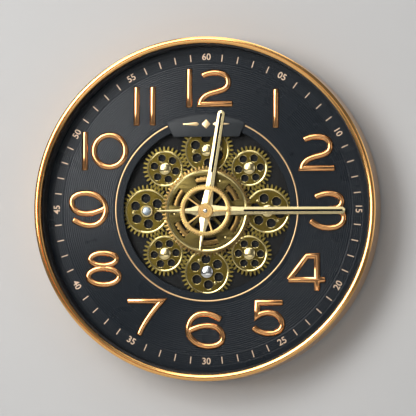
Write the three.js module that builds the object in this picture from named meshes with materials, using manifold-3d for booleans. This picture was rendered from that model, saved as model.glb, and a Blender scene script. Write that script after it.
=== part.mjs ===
// A round wall clock with a raised gold bezel, a dark dial with twelve raised
// numerals, and an opening in the dial where a ring of eight gears turns round
// a pierced central wheel. Millimetres. The clock hangs on a wall: its back
// lies in the plane y = 0, it faces -Y, and +Z is up. Every piece is drawn in
// the plane of the dial (x right, y up, z out from the wall), and the whole
// clock is turned upright at the end.

import * as THREE from 'three';
import { mergeVertices } from 'three/addons/utils/BufferGeometryUtils.js';
import Module from 'manifold-3d';

const wasm = await Module();
wasm.setup();

// Case and dial
const outerRadius = 200;
const caseDepth = 58.4;
const bezelWall = 2.7;
const bezelFlare = 2.6;
const bezelBack = 7;
const lipWidth = 7.8;
const caseWall = 3;
const backThickness = 2.5;
const dialHeight = 29.4;
const dialThickness = 1;
const openingRadius = 98.5;
const spacerWall = 6.4;
const glassThickness = 2.5;
const trimWidth = 1.6;
const trimStandoff = 8.4;
const trimHeight = 0.8;
const trimGap = 25;

// Plaque over the top of the opening
const plaqueHalfAngle = 24.6;
const plaqueOverlap = 12.5;
const plaqueDrop = 13.8;
const plaqueCorner = 4.3;
const plaqueHalfWidth = 40.8;
const plaqueThickness = 2;

// Raised numerals, in a band of the dial that leaves a margin on both sides
const numeralMargin = 9.45;
const numeralRelief = 2.6;
const minuteTrackWidth = 18.5;

// Gear train: its middle, and that of the hands, is a little below the dial's
const trainDrop = 2.2;
const gearModule = 1.65;
const largeTeeth = 36;
const smallTeeth = 30;
const driveTeeth = 52;
const largeTurnToSmall = 66.818;
const addendum = 1.6;
const dedendum = 3.1;
const gearThickness = 1.4;
const faceThickness = 1;
const rimStep = 0.5;
const largeHoleRadius = 4.7;
const largeHoleCircle = 15.1;
const smallHoleRadius = 3.9;
const smallHoleCircle = 13;
const gearPlateThickness = 1.6;
const gearPlateHeight = 17.8;
const gearPlateOverlap = 13.5;
const gearStandoff = 2.2;

// Studs that carry the gears, and the driven shaft
const journalRadius = 3;
const pillarRadius = 4.6;
const capRadius = 6.8;
const capDome = 3.2;
const collarHeight = 2.2;
const driveShaftRadius = 4.8;
const driveCollarRadius = 7.5;
const motorRadius = 14;
const motorDepth = 13.6;

// Central wheel
const discRadius = 48;
const discThickness = 1.2;
const ringTeeth = 72;
const ringRootRadius = 49.6;
const ringTipRadius = 53.4;
const ringBandInner = 36.4;
const ringBandOuter = 40.4;
const ringSlotOuter = 43;
const arcWindowInner = 31.7;
const arcWindowOuter = 41.6;
const arcWindowHalfAngle = 15;
const arcWindowCount = 6;
const hubWindowInner = 10.2;
const hubWindowOuter = 24;
const wheelSpokeHalfWidth = 1.6;
const wheelSpokes = 4;
const driveRimInner = 34.5;
const wheelPinRadius = 1.3;
const wheelPinCircle = 38.3;
const wheelPins = 3;
const wheelPinProud = 0.4;
const wheelHubRadius = 9.4;
const bearingWall = 1.7;
const bearingFlange = 11;

// Movement, its shafts and the hands
const movementSize = 56;
const movementCorner = 5;
const barrelRadius = 4.6;
const hourTubeRadius = 2.9;
const minuteTubeRadius = 1.9;
const secondsArborRadius = 0.8;
const tubeWall = 0.7;
const nutRadius = 8.5;
const nutThickness = 2.2;
const handThickness = 1;
const handGap = 0.5;
const handStep = 1;
const handHubHalfWidth = 6.5;
const handNeckHalfWidth = 5;
const handTipHalfWidth = 4.7;
const handSlotHalfWidth = 1.1;
const handSlotEnd = 3;
const handSlotDepth = 0.5;
const hourHandLength = 118.9;
const hourSlotStart = 45.7;
const hourTail = 46.5;
const minuteHandLength = 163.3;
const minuteSlotStart = 45;
const minuteTail = 58.2;
const hourHandAngle = 9;
const minuteHandAngle = 90;
const secondsTipRadius = 30;
const secondsRootRadius = 28.4;
const secondsRingInner = 24.6;
const secondsTeeth = 72;
const secondsSpokes = 5;
const secondsSpokeHalfWidth = 0.8;
const secondsHubRadius = 8.8;
const secondsHubHeight = 2.1;
const secondsCapRadius = 2.5;
const secondsCapHeight = 1;
const knobRadius = 5;
const knobOffset = 15;
const knobDepth = 3;

// Cells, rear door and hanger
const cellRadius = 7.2;
const cellLength = 50.5;
const cellNubRadius = 2.7;
const cellNubLength = 1;
const cellWall = 1;
const motorCellDrop = 86;
const doorThickness = 1.2;
const doorLedge = 3;
const hangerDrop = 46;
const hangerWidth = 44;
const hangerHeight = 24;
const hangerThickness = 1.2;
const keyholeRadius = 5;
const keyholeSlotHalfWidth = 2.5;
const keyholeSlotLength = 9;
const bossRadius = 4;
const bossCount = 4;
const bossTurn = 22.5;

// Clearances and smoothness
const seatGap = 0.3;
const runningGap = 0.3;
const largeSteps = 40;
const middleSteps = 16;
const smallSteps = 10;

const degrees = Math.PI / 180;
const fullTurn = Math.PI * 2;

// Finishes
function finish(colour, roughness, metalness) {
  return { color: colour, roughness, metalness };
}
const paleGold = finish(0xe8c98a, 0.28, 1);
const roseGold = finish(0xc98a5c, 0.3, 1);
const handGold = finish(0xf0e2a8, 0.35, 1);
const oliveBrass = finish(0x8f7a2c, 0.4, 1);
const capBrass = finish(0xd8b866, 0.2, 1);
const dialGrey = finish(0x2e3134, 0.6, 0);
const caseBlack = finish(0x161718, 0.55, 0);
const plateBlack = finish(0x1b1d1e, 0.6, 0);
const steel = finish(0xb8bcc0, 0.3, 1);
const clearGlass = finish(0xf4f8fa, 0.05, 0);
const mouldedBlack = finish(0x232425, 0.5, 0);
const cellSkin = finish(0x3a5a78, 0.4, 0.2);

// Solids for cutting and joining
function toSolid(geometry) {
  const bare = geometry.clone();
  bare.deleteAttribute('normal');
  bare.deleteAttribute('uv');
  const merged = mergeVertices(bare, 1e-4);
  return new wasm.Manifold(new wasm.Mesh({
    numProp: 3,
    vertProperties: new Float32Array(merged.attributes.position.array),
    triVerts: new Uint32Array(merged.index.array),
  }));
}

function toGeometry(solid) {
  const mesh = solid.getMesh();
  const geometry = new THREE.BufferGeometry();
  geometry.setAttribute('position', new THREE.BufferAttribute(mesh.vertProperties, 3));
  geometry.setIndex(new THREE.BufferAttribute(mesh.triVerts, 1));
  geometry.computeVertexNormals();
  return geometry;
}

function join(geometries) {
  return toGeometry(geometries.map(toSolid).reduce((whole, next) => whole.add(next)));
}

function cut(geometry, cutters) {
  return toGeometry(cutters.map(toSolid).reduce((whole, next) => whole.subtract(next), toSolid(geometry)));
}

// Points, outlines and simple bodies
function polar(radius, angle) {
  return new THREE.Vector2(radius * Math.cos(angle), radius * Math.sin(angle));
}

function arcPoints(radius, from, to, steps) {
  return Array.from({ length: steps + 1 }, (_, i) => polar(radius, from + ((to - from) * i) / steps));
}

function circle(radius, steps, at = new THREE.Vector2(), turn = 0) {
  const points = Array.from({ length: steps }, (_, i) => polar(radius, turn + (fullTurn * i) / steps));
  return points.map((point) => point.add(at));
}

function sector(inner, outer, from, to, steps) {
  return [...arcPoints(outer, from, to, steps), ...arcPoints(inner, to, from, steps)];
}

function plate(outline, holes, low, high) {
  const shape = new THREE.Shape(outline);
  shape.holes = holes.map((hole) => new THREE.Path(hole));
  const geometry = new THREE.ExtrudeGeometry(shape, { depth: high - low, bevelEnabled: false });
  return geometry.translate(0, 0, low);
}

function turned(profile, steps) {
  const points = profile.map(([radius, height]) => new THREE.Vector2(radius, height));
  points.push(points[0].clone());
  return new THREE.LatheGeometry(points, steps).rotateX(Math.PI / 2);
}

function spun(profile, steps) {
  const points = profile.map(([radius, height]) => new THREE.Vector2(radius, height));
  return new THREE.LatheGeometry(points, steps).rotateX(Math.PI / 2);
}

function ring(inner, outer, low, high, steps) {
  return turned([[outer, low], [outer, high], [inner, high], [inner, low]], steps);
}

function rod(radius, low, high, steps) {
  return spun([[0, low], [radius, low], [radius, high], [0, high]], steps);
}

function block(width, height, low, high, x = 0, y = 0) {
  const geometry = new THREE.BoxGeometry(width, height, high - low);
  return geometry.translate(x, y, (low + high) / 2);
}

function clockPoint(radius, clockwise) {
  return polar(radius, (90 - clockwise) * degrees);
}

// The clock, and in it the gear train with all that is centred on it
const clock = new THREE.Group();
clock.rotation.x = Math.PI / 2;
const train = new THREE.Group();
train.position.y = -trainDrop;
clock.add(train);

function addTo(group, name, geometry, look, at = new THREE.Vector2(), turn = 0) {
  const mesh = new THREE.Mesh(geometry, new THREE.MeshStandardMaterial(look));
  mesh.name = name;
  mesh.position.set(at.x, at.y, 0);
  mesh.rotation.z = turn;
  group.add(mesh);
}

function addPiece(...piece) {
  addTo(clock, ...piece);
}

function addToTrain(...piece) {
  addTo(train, ...piece);
}

// Bezel: a deep, slightly flared outer wall that ends in two rounded steps
const boreRadius = outerRadius - bezelWall;
const lipRadius = outerRadius - lipWidth;
const lipBack = caseDepth - 6.5;
const grooveRadius = outerRadius - lipWidth * 0.46;
addPiece('bezel', turned([
  [outerRadius + bezelFlare, bezelBack],
  [outerRadius, caseDepth - 2.5],
  [outerRadius - 1.6, caseDepth],
  [grooveRadius, caseDepth - 1.2],
  [grooveRadius - 1.4, caseDepth - 0.8],
  [lipRadius + 0.6, caseDepth - 2.6],
  [lipRadius, caseDepth - 5],
  [lipRadius, lipBack],
  [boreRadius, lipBack],
  [boreRadius, bezelBack],
], largeSteps), paleGold);

// Glass under the lip, and the black ring that holds it off the dial
const innerRadius = boreRadius - 0.4;
const glassTop = lipBack - seatGap;
const glassBottom = glassTop - glassThickness;
addPiece('glass', rod(innerRadius, glassBottom, glassTop, largeSteps), clearGlass);
addPiece('spacer_ring', ring(
  innerRadius - spacerWall,
  innerRadius,
  dialHeight + seatGap,
  glassBottom - seatGap,
  largeSteps,
), caseBlack);

// Dial plate with its round opening, lit by a small chamfer at the edge
const dialBack = dialHeight - dialThickness;
addPiece('dial_plate', turned([
  [innerRadius, dialBack],
  [innerRadius, dialHeight],
  [openingRadius + dialThickness / 2, dialHeight],
  [openingRadius, dialHeight - dialThickness / 2],
  [openingRadius, dialBack],
], largeSteps), dialGrey);

// Gold line round the opening, broken where the plaque sits
const trimInner = openingRadius + trimStandoff;
const trimOuter = trimInner + trimWidth;
addPiece('opening_trim', plate(
  sector(trimInner, trimOuter, (90 + trimGap) * degrees, (450 - trimGap) * degrees, 32),
  [],
  dialHeight,
  dialHeight + trimHeight,
), roseGold);

// Plaque: a raised pad with cut lower corners that reaches into the opening
const plaqueBottom = openingRadius - plaqueDrop;
const plaqueArc = arcPoints(
  openingRadius + plaqueOverlap,
  (90 - plaqueHalfAngle) * degrees,
  (90 + plaqueHalfAngle) * degrees,
  10,
);
addPiece('plaque', plate([
  new THREE.Vector2(-plaqueHalfWidth, plaqueBottom + plaqueCorner),
  new THREE.Vector2(-plaqueHalfWidth + plaqueCorner / 2, plaqueBottom),
  new THREE.Vector2(plaqueHalfWidth - plaqueCorner / 2, plaqueBottom),
  new THREE.Vector2(plaqueHalfWidth, plaqueBottom + plaqueCorner),
  ...plaqueArc,
], [], dialHeight, dialHeight + plaqueThickness), dialGrey);

// Numerals: strokes of ridged section swept along their centre lines, drawn
// on a grid of their own and scaled to the band when they are set on the dial
const gridHeight = 44.6;
const gridStroke = 7;
const gridFlat = 3.8;
const mitreLimit = 1.35;
const strokeSection = [
  [-gridStroke / 2, 0],
  [-gridFlat / 2, numeralRelief],
  [gridFlat / 2, numeralRelief],
  [gridStroke / 2, 0],
];

function mitreAt(points, i, closed) {
  const count = points.length;
  const before = closed || i > 0 ? points[(i - 1 + count) % count] : null;
  const after = closed || i < count - 1 ? points[(i + 1) % count] : null;
  const arriving = before ? points[i].clone().sub(before).normalize() : null;
  const leaving = after ? after.clone().sub(points[i]).normalize() : null;
  const along = (arriving ?? leaving).clone().add(leaving ?? arriving).normalize();
  const straightness = along.dot(leaving ?? arriving);
  const stretch = Math.min(1 / straightness, mitreLimit);
  return new THREE.Vector2(-along.y, along.x).multiplyScalar(stretch);
}

function sweepStroke(points, closed) {
  const sides = strokeSection.length;
  const positions = points.flatMap((point, i) => {
    const across = mitreAt(points, i, closed);
    return strokeSection.flatMap(([offset, height]) => [
      point.x - across.x * offset,
      point.y - across.y * offset,
      height,
    ]);
  });
  const spans = closed ? points.length : points.length - 1;
  const index = [];
  for (let i = 0; i < spans; i += 1) {
    const here = i * sides;
    const next = ((i + 1) % points.length) * sides;
    for (let j = 0; j < sides; j += 1) {
      const k = (j + 1) % sides;
      index.push(here + j, here + k, next + k, here + j, next + k, next + j);
    }
  }
  const last = (points.length - 1) * sides;
  for (let j = 1; !closed && j < sides - 1; j += 1) {
    index.push(0, j + 1, j, last, last + j, last + j + 1);
  }
  const geometry = new THREE.BufferGeometry();
  geometry.setAttribute('position', new THREE.Float32BufferAttribute(positions, 3));
  geometry.setIndex(index);
  geometry.computeVertexNormals();
  return geometry;
}

function centreLine(start, ...steps) {
  const path = new THREE.Path();
  path.moveTo(...start);
  steps.forEach((step) => (step.length === 2 ? path.lineTo(...step) : path.bezierCurveTo(...step)));
  return sweepStroke(path.getPoints(3), false);
}

function loopLine(x, y, halfWidth, halfHeight, steps) {
  const points = circle(1, steps).map((p) => new THREE.Vector2(x + p.x * halfWidth, y + p.y * halfHeight));
  return sweepStroke(points, true);
}

function nineStrokes() {
  return [
    centreLine([-18.3, -12.4], [-9, -18.5, -2, -19.8, 4, -19.4], [15, -18.6, 20.8, -9, 20.8, -1],
      [20.8, 10, 10, 18.9, -3, 18.9], [-10, 18.9, -15, 17.4, -17.8, 14]),
    centreLine([-15, 16.2], [-18.5, 14.6, -20.2, 11.8, -20.2, 8], [-20.2, 0, -13, -5.4, -3, -5.4],
      [6, -5.4, 13, -2.7, 20.2, 1.2]),
  ];
}

const digitStrokes = {
  0: () => [loopLine(0, 0, 18.9, 18.9, 18)],
  1: () => [centreLine([0, -22.3], [0, 22.3])],
  2: () => [centreLine([-15.2, 14.4], [-6, 20.4, 15.7, 20.6, 15.5, 6.5], [15.3, -1.6, 7, -3, -2, -5.2],
    [-11, -7.6, -16.6, -11.4, -17.6, -18.8], [20.8, -18.8])],
  3: () => [
    centreLine([-14, 16], [-5, 20.9, 6, 21.2, 12, 18], [18, 14.7, 18.4, 8.5, 14.5, 5],
      [11, 2.6, 8, 2, 2.5, 2]),
    centreLine([2.5, 1.2], [12, 1.2, 19.4, -1, 19.4, -8], [19.4, -17, 10, -19.9, 2, -19.9],
      [-8, -19.9, -14, -16.4, -19.6, -11]),
  ],
  4: () => [
    centreLine([14, -22], [14, 18.6], [2.4, 18.6], [-19.4, -9.1]),
    centreLine([-19.6, -9.1], [23.8, -9.1]),
  ],
  5: () => [centreLine([17.5, 18], [-12.6, 18], [-12.6, 2.4], [-8, 5.6, -3, 6.4, 1, 6.2],
    [10, 5.8, 16.4, 0, 16.4, -7.2], [16.4, -14.5, 10, -18, 1, -18], [-7, -18, -13, -15.4, -17.2, -10.8])],
  6: () => nineStrokes().map((stroke) => stroke.rotateZ(Math.PI)),
  7: () => [centreLine([-22, 18.4], [18.6, 18.4], [7, 6, -4, -9, -8.5, -21.8])],
  8: () => [loopLine(0, 11.2, 15.6, 7.4, 14), loopLine(0.4, -9.2, 18.4, 9.6, 16)],
  9: () => nineStrokes(),
};

// Places: each numeral's angle, and in grid steps how far out it sits from
// the middle of the band and how far right of that place its digits are
const bandInner = trimOuter;
const bandOuter = innerRadius - spacerWall - minuteTrackWidth;
const bandMiddle = (bandInner + bandOuter) / 2;
const numeralScale = (bandOuter - bandInner - 2 * numeralMargin) / gridHeight;
const numerals = [
  { hour: 12, angle: 1.1, out: 1.8, digits: [[1, -23], [2, 7.3]] },
  { hour: 1, angle: 34.9, out: 2.7, digits: [[1, 0]] },
  { hour: 2, angle: 63.1, out: 5.3, digits: [[2, 0]] },
  { hour: 3, angle: 91, out: 1.7, digits: [[3, 0]] },
  { hour: 4, angle: 122.4, out: -2.9, digits: [[4, 0]] },
  { hour: 5, angle: 150.3, out: 6.3, digits: [[5, 0]] },
  { hour: 6, angle: 180.4, out: 1.6, digits: [[6, 0]] },
  { hour: 7, angle: 209.1, out: 3.9, digits: [[7, 0]] },
  { hour: 8, angle: 240.4, out: 1, digits: [[8, 0]] },
  { hour: 9, angle: 270.2, out: 0.6, digits: [[9, 0]] },
  { hour: 10, angle: 299.8, out: -1.4, digits: [[1, -24.5], [0, 5]] },
  { hour: 11, angle: 328.8, out: 1.7, digits: [[1, -9.6], [1, 9.6]] },
];
const digitPlaces = ['first', 'second'];
for (const { hour, angle, out, digits } of numerals) {
  digits.forEach(([digit, offset], i) => {
    const strokes = digitStrokes[digit]();
    const geometry = strokes.length > 1 ? join(strokes) : strokes[0];
    geometry.scale(numeralScale, numeralScale, 1).translate(0, 0, dialHeight);
    const centre = clockPoint(bandMiddle + out * numeralScale, angle);
    const name = digits.length > 1 ? `numeral_${hour}_${digitPlaces[i]}` : `numeral_${hour}`;
    addPiece(name, geometry, roseGold, centre.add(new THREE.Vector2(offset * numeralScale, 0)));
  });
}

// Gear geometry: the outline of a gear with a tooth centred on its x axis
function gearOutline(teeth, root, tip) {
  const pitch = fullTurn / teeth;
  return Array.from({ length: teeth }, (_, i) => [
    polar(root, pitch * (i - 0.5)),
    polar(tip, pitch * i),
  ]).flat();
}

const gearPlateTop = gearPlateHeight + gearPlateThickness;
const gearBottom = gearPlateTop + gearStandoff;
const gearTop = gearBottom + gearThickness;
const faceTop = gearTop + faceThickness;
const largePitchRadius = (gearModule * largeTeeth) / 2;
const smallPitchRadius = (gearModule * smallTeeth) / 2;

// Centres: a small gear meshes with the large gears on both sides of it, so
// the angle at a large gear between the clock's centre and the small gear,
// and the sum of the pitch radii, give both circles of centres.
const stationAngle = 45 * degrees;
const angleAtLarge = largeTurnToSmall * degrees;
const angleAtSmall = Math.PI - stationAngle - angleAtLarge;
const meshDistance = largePitchRadius + smallPitchRadius;
const largeCircle = (meshDistance * Math.sin(angleAtSmall)) / Math.sin(stationAngle);
const smallCircle = (meshDistance * Math.sin(angleAtLarge)) / Math.sin(stationAngle);

function outerGear(teeth, pitchRadius, holeRadius, holeCircle, holeTurn, axleRadius) {
  const root = pitchRadius - dedendum;
  const tip = pitchRadius + addendum;
  const teethPlate = plate(gearOutline(teeth, root, tip), [], gearBottom, gearTop);
  const face = rod(root - rimStep, gearBottom + gearThickness / 2, faceTop, middleSteps);
  const holes = Array.from({ length: 6 }, (_, i) => {
    const centre = polar(holeCircle, holeTurn + (i * fullTurn) / 6);
    return rod(holeRadius, gearBottom - 1, faceTop + 1, 8).translate(centre.x, centre.y, 0);
  });
  const bore = rod(axleRadius + runningGap, gearBottom - 1, faceTop + 1, smallSteps);
  return cut(join([teethPlate, face]), [...holes, bore]);
}

// Each gear faces the centre with a tooth, if large, or a gap, if small, and
// was set on its axle turned by some whole teeth.
const largeGear = {
  size: 'large',
  make: (axle) => outerGear(
    largeTeeth, largePitchRadius, largeHoleRadius, largeHoleCircle, 6 * degrees, axle),
  circle: largeCircle,
  pitch: fullTurn / largeTeeth,
  facing: 0,
};
const smallGear = {
  size: 'small',
  make: (axle) => outerGear(
    smallTeeth, smallPitchRadius, smallHoleRadius, smallHoleCircle, 2 * degrees, axle),
  circle: smallCircle,
  pitch: fullTurn / smallTeeth,
  facing: 0.5,
};
const stations = [
  { place: 'top', angle: 90, gear: largeGear, teethTurned: 0, axle: journalRadius },
  { place: 'top_right', angle: 45, gear: smallGear, teethTurned: 1, axle: journalRadius },
  { place: 'right', angle: 0, gear: largeGear, teethTurned: 4, axle: journalRadius },
  { place: 'bottom_right', angle: -45, gear: smallGear, teethTurned: 3, axle: journalRadius },
  { place: 'bottom', angle: -90, gear: largeGear, teethTurned: 0, axle: journalRadius },
  { place: 'bottom_left', angle: -135, gear: smallGear, teethTurned: 1, axle: journalRadius },
  { place: 'left', angle: 180, gear: largeGear, teethTurned: 3, axle: driveShaftRadius },
  { place: 'top_left', angle: 135, gear: smallGear, teethTurned: 2, axle: journalRadius },
];
for (const { place, angle, gear, teethTurned, axle } of stations) {
  const turn = angle * degrees + Math.PI + gear.pitch * (gear.facing + teethTurned);
  const centre = polar(gear.circle, angle * degrees);
  addToTrain(`${gear.size}_gear_${place}`, gear.make(axle), oliveBrass, centre, turn);
}

// Studs: a pillar pressed into the gear plate, a journal and a domed cap
const journalEnd = faceTop + seatGap;
const studProfile = [
  [0, gearPlateHeight],
  [pillarRadius, gearPlateHeight],
  [pillarRadius, gearBottom - seatGap],
  [journalRadius, gearBottom - seatGap],
  [journalRadius, journalEnd],
  [capRadius, journalEnd],
  [capRadius * 0.75, journalEnd + capDome * 0.75],
  [0, journalEnd + capDome],
];
for (const { place, angle, gear, axle } of stations) {
  if (axle === journalRadius) {
    addToTrain(`stud_${place}`, spun(studProfile, smallSteps), capBrass, polar(gear.circle, angle * degrees));
  }
}

// The gear at the left is driven: its shaft comes out of the gear motor
// behind the gear plate, and a brass collar holds the gear on it.
const motorTop = gearPlateHeight - seatGap;
const motorCentre = polar(largeCircle, Math.PI);
const driveShaftFoot = motorTop - 4;
const driveShaftTop = journalEnd + collarHeight + 0.6;
const driveShaft = rod(driveShaftRadius, driveShaftFoot, driveShaftTop, smallSteps);
addToTrain('drive_shaft', driveShaft, steel, motorCentre);
addToTrain('drive_collar', ring(
  driveShaftRadius + runningGap,
  driveCollarRadius,
  journalEnd,
  journalEnd + collarHeight,
  smallSteps,
), capBrass, motorCentre);
const motorBore = rod(driveShaftRadius + runningGap, driveShaftFoot - seatGap, motorTop + 1, smallSteps);
addToTrain('gear_motor', cut(
  join([
    rod(motorRadius, motorTop - motorDepth, motorTop, middleSteps),
    block(motorRadius * 2.9, motorRadius * 0.8, motorTop - 2, motorTop),
  ]),
  [motorBore],
), steel, motorCentre);

// Gear plate behind the gears, with a hole for every stud and the barrel
const barrelHole = barrelRadius + seatGap;
const axleHoles = stations.map(({ angle, gear, axle }) => circle(
  (axle === journalRadius ? pillarRadius : axle) + runningGap,
  smallSteps,
  polar(gear.circle, angle * degrees),
));
addToTrain('gear_plate', plate(
  circle(openingRadius + gearPlateOverlap, 24),
  [circle(barrelHole, middleSteps), ...axleHoles],
  gearPlateHeight,
  gearPlateTop,
), plateBlack);

// Central wheel: drive gear, toothed ring and pierced disc, pinned together,
// turning on a flanged bearing that stands on the gear plate
const bearingRadius = barrelHole + bearingWall;
const wheelBore = bearingRadius + runningGap;
const ringBottom = faceTop + seatGap;
const ringTop = ringBottom + discThickness;
const discBottom = ringTop + seatGap;
const discTop = discBottom + discThickness;
const bearingTop = discTop + seatGap;
addToTrain('centre_bearing', turned([
  [bearingFlange, gearPlateTop + seatGap],
  [bearingFlange, gearBottom - seatGap],
  [bearingRadius, gearBottom - seatGap],
  [bearingRadius, bearingTop],
  [barrelHole, bearingTop],
  [barrelHole, gearPlateTop + seatGap],
], middleSteps), steel);

function spokeWindow(inner, outer, middle, halfAngle, halfWidth, steps) {
  const outerHalf = halfAngle - Math.asin(halfWidth / outer);
  const innerHalf = halfAngle - Math.asin(halfWidth / inner);
  return [
    ...arcPoints(outer, middle - outerHalf, middle + outerHalf, steps),
    ...arcPoints(inner, middle + innerHalf, middle - innerHalf, steps / 2),
  ];
}

function spokeWindows(count, inner, outer, halfWidth, firstSpoke, steps) {
  const share = fullTurn / count;
  return Array.from({ length: count }, (_, i) => spokeWindow(
    inner, outer, firstSpoke + share * (i + 0.5), share / 2, halfWidth, steps));
}

const wheelPinTurn = (90 - 24.5) * degrees;
const wheelPinPoints = circle(wheelPinCircle, wheelPins, undefined, wheelPinTurn);
const pinHoles = wheelPinPoints.map((point) => circle(wheelPinRadius + seatGap, 6, point));
const firstWheelSpoke = 45 * degrees;

// The drive gear runs in the plane of the large gears and turns all four
const driveCircle = (largeCircle * driveTeeth) / (driveTeeth + largeTeeth);
const driveTip = largeCircle - (largePitchRadius - dedendum) - seatGap;
const driveRoot = largeCircle - (largePitchRadius + addendum) - seatGap;
const driveTeethTurn = Math.PI / driveTeeth;
const driveOutline = gearOutline(driveTeeth, driveRoot, Math.min(driveTip, driveCircle + addendum))
  .map((point) => point.rotateAround(new THREE.Vector2(), driveTeethTurn));
const drivePlate = plate(driveOutline, [
  circle(wheelBore, middleSteps),
  ...spokeWindows(wheelSpokes, wheelHubRadius + 1, driveRimInner, wheelSpokeHalfWidth, firstWheelSpoke, 4),
], gearBottom, gearTop);
const gearMiddle = gearBottom + gearThickness / 2;
const driveHub = ring(wheelBore, wheelHubRadius, gearMiddle, faceTop, middleSteps);
const drivePins = wheelPinPoints.map((point) => rod(wheelPinRadius, gearMiddle, discTop + wheelPinProud, 6)
  .translate(point.x, point.y, 0));
addToTrain('centre_drive_gear', join([drivePlate, driveHub, ...drivePins]), roseGold);

const slotHalfAngle = 53 * degrees;
const ringSlots = circle(1, wheelPins, undefined, wheelPinTurn + Math.PI / wheelPins).map((point) => sector(
  ringBandOuter, ringSlotOuter, point.angle() - slotHalfAngle, point.angle() + slotHalfAngle, 6));
addToTrain('centre_tooth_ring', plate(
  gearOutline(ringTeeth, ringRootRadius, ringTipRadius),
  [circle(ringBandInner, 24), ...ringSlots, ...pinHoles],
  ringBottom,
  ringTop,
), roseGold);

const firstArcWindow = (90 - 54.5) * degrees;
const arcWindows = Array.from({ length: arcWindowCount }, (_, i) => {
  const middle = firstArcWindow + (i * fullTurn) / arcWindowCount;
  const half = arcWindowHalfAngle * degrees;
  return sector(arcWindowInner, arcWindowOuter, middle - half, middle + half, 3);
});
addToTrain('centre_disc', plate(circle(discRadius, 36), [
  circle(wheelBore, middleSteps),
  ...spokeWindows(wheelSpokes, hubWindowInner, hubWindowOuter, wheelSpokeHalfWidth, firstWheelSpoke, 4),
  ...arcWindows,
  ...pinHoles,
], discBottom, discTop), oliveBrass);

// Movement: a moulded box behind the gear plate with a threaded barrel that
// carries the hand shafts, a bay for its cell and a setting knob at the back
const movementTop = gearPlateHeight - seatGap;
const movementBottom = doorThickness + seatGap;
const nutBottom = bearingTop + seatGap;
const nutTop = nutBottom + nutThickness;
const hourHandBottom = dialHeight + numeralRelief + handGap + 0.2;
const hourHandTop = hourHandBottom + handThickness;
const minuteHandBottom = hourHandTop + handStep;
const minuteHandTop = minuteHandBottom + handThickness;
const secondsBottom = minuteHandTop + handStep;
const secondsTop = secondsBottom + handThickness;
const barrelTop = nutTop + 0.4;
const shaftFoot = movementTop - 5;
const hourBore = hourTubeRadius + runningGap;
const cellCentreHeight = movementBottom + cellRadius + 0.1;
const cellBayHalf = cellRadius + seatGap;
const movementCellY = -movementSize / 2 + cellBayHalf + cellWall;

function roundedBox(width, height, corner) {
  const x = width / 2 - corner;
  const y = height / 2 - corner;
  const quarter = Math.PI / 2;
  return [[x, y], [-x, y], [-x, -y], [x, -y]].flatMap((centre, i) => (
    arcPoints(corner, i * quarter, (i + 1) * quarter, 3).map((p) => p.add(new THREE.Vector2(...centre)))
  ));
}

const knobCentre = new THREE.Vector2(0, knobOffset);
addToTrain('movement', cut(
  join([
    plate(roundedBox(movementSize, movementSize, movementCorner), [], movementBottom, movementTop),
    rod(barrelRadius, movementTop - 1, barrelTop, middleSteps),
  ]),
  [
    rod(hourBore, shaftFoot - seatGap, barrelTop + 1, smallSteps),
    block(cellLength + cellNubLength + 2 * seatGap, 2 * cellBayHalf, movementBottom - 1,
      cellCentreHeight + cellBayHalf, 0, movementCellY),
    rod(knobRadius + 1, movementBottom - 1, movementBottom + knobDepth, middleSteps)
      .translate(knobCentre.x, knobCentre.y, 0),
  ],
), mouldedBlack);
addToTrain('movement_nut', plate(
  circle(nutRadius, 6),
  [circle(barrelRadius + seatGap, middleSteps)],
  nutBottom,
  nutTop,
), capBrass);
const knobTop = movementBottom + knobDepth - seatGap;
addToTrain('setting_knob', rod(knobRadius, movementBottom, knobTop, middleSteps), steel, knobCentre);

addToTrain('hour_tube', ring(
  hourTubeRadius - tubeWall,
  hourTubeRadius,
  shaftFoot,
  hourHandTop + 0.3,
  smallSteps,
), capBrass);
addToTrain('minute_tube', ring(
  minuteTubeRadius - tubeWall,
  minuteTubeRadius,
  shaftFoot,
  minuteHandTop + 0.3,
  smallSteps,
), capBrass);
const secondsHubBottom = secondsBottom - 0.3;
const secondsHubTop = secondsHubBottom + secondsHubHeight;
addToTrain('seconds_arbor', spun([
  [0, shaftFoot],
  [secondsArborRadius, shaftFoot],
  [secondsArborRadius, secondsHubTop + seatGap],
  [secondsCapRadius, secondsHubTop + seatGap],
  [secondsCapRadius, secondsHubTop + seatGap + secondsCapHeight * 0.6],
  [secondsCapRadius * 0.6, secondsHubTop + seatGap + secondsCapHeight],
  [0, secondsHubTop + seatGap + secondsCapHeight],
], smallSteps), steel);

// Hands: a broad blade with a groove on its centre line and a pointed tail
function handOutline(length, tail) {
  const tipCentre = length - handTipHalfWidth;
  const side = [
    [0.5, -tail],
    [handNeckHalfWidth, -handHubHalfWidth],
    [handHubHalfWidth, 0],
    [handHubHalfWidth, handHubHalfWidth],
    [handNeckHalfWidth, hourSlotStart - 4],
  ];
  const right = side.map(([x, y]) => new THREE.Vector2(x, y));
  const tip = arcPoints(handTipHalfWidth, 0, Math.PI, 6).map((p) => p.add(new THREE.Vector2(0, tipCentre)));
  const left = side.map(([x, y]) => new THREE.Vector2(-x, y)).reverse();
  return [...right, ...tip, ...left];
}

function hand(length, tail, slotStart, tubeRadius, bottom) {
  const top = bottom + handThickness;
  const bore = circle(tubeRadius + seatGap, smallSteps);
  const slotLength = length - handSlotEnd - slotStart;
  const slotMiddle = slotStart + slotLength / 2;
  const slot = block(2 * handSlotHalfWidth, slotLength, top - handSlotDepth, top + 1, 0, slotMiddle);
  return cut(plate(handOutline(length, tail), [bore], bottom, top), [slot]);
}

const hourHand = hand(hourHandLength, hourTail, hourSlotStart, hourTubeRadius, hourHandBottom);
const minuteHand = hand(minuteHandLength, minuteTail, minuteSlotStart, minuteTubeRadius, minuteHandBottom);
addToTrain('hour_hand', hourHand, handGold, undefined, -hourHandAngle * degrees);
addToTrain('minute_hand', minuteHand, handGold, undefined, -minuteHandAngle * degrees);

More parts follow.
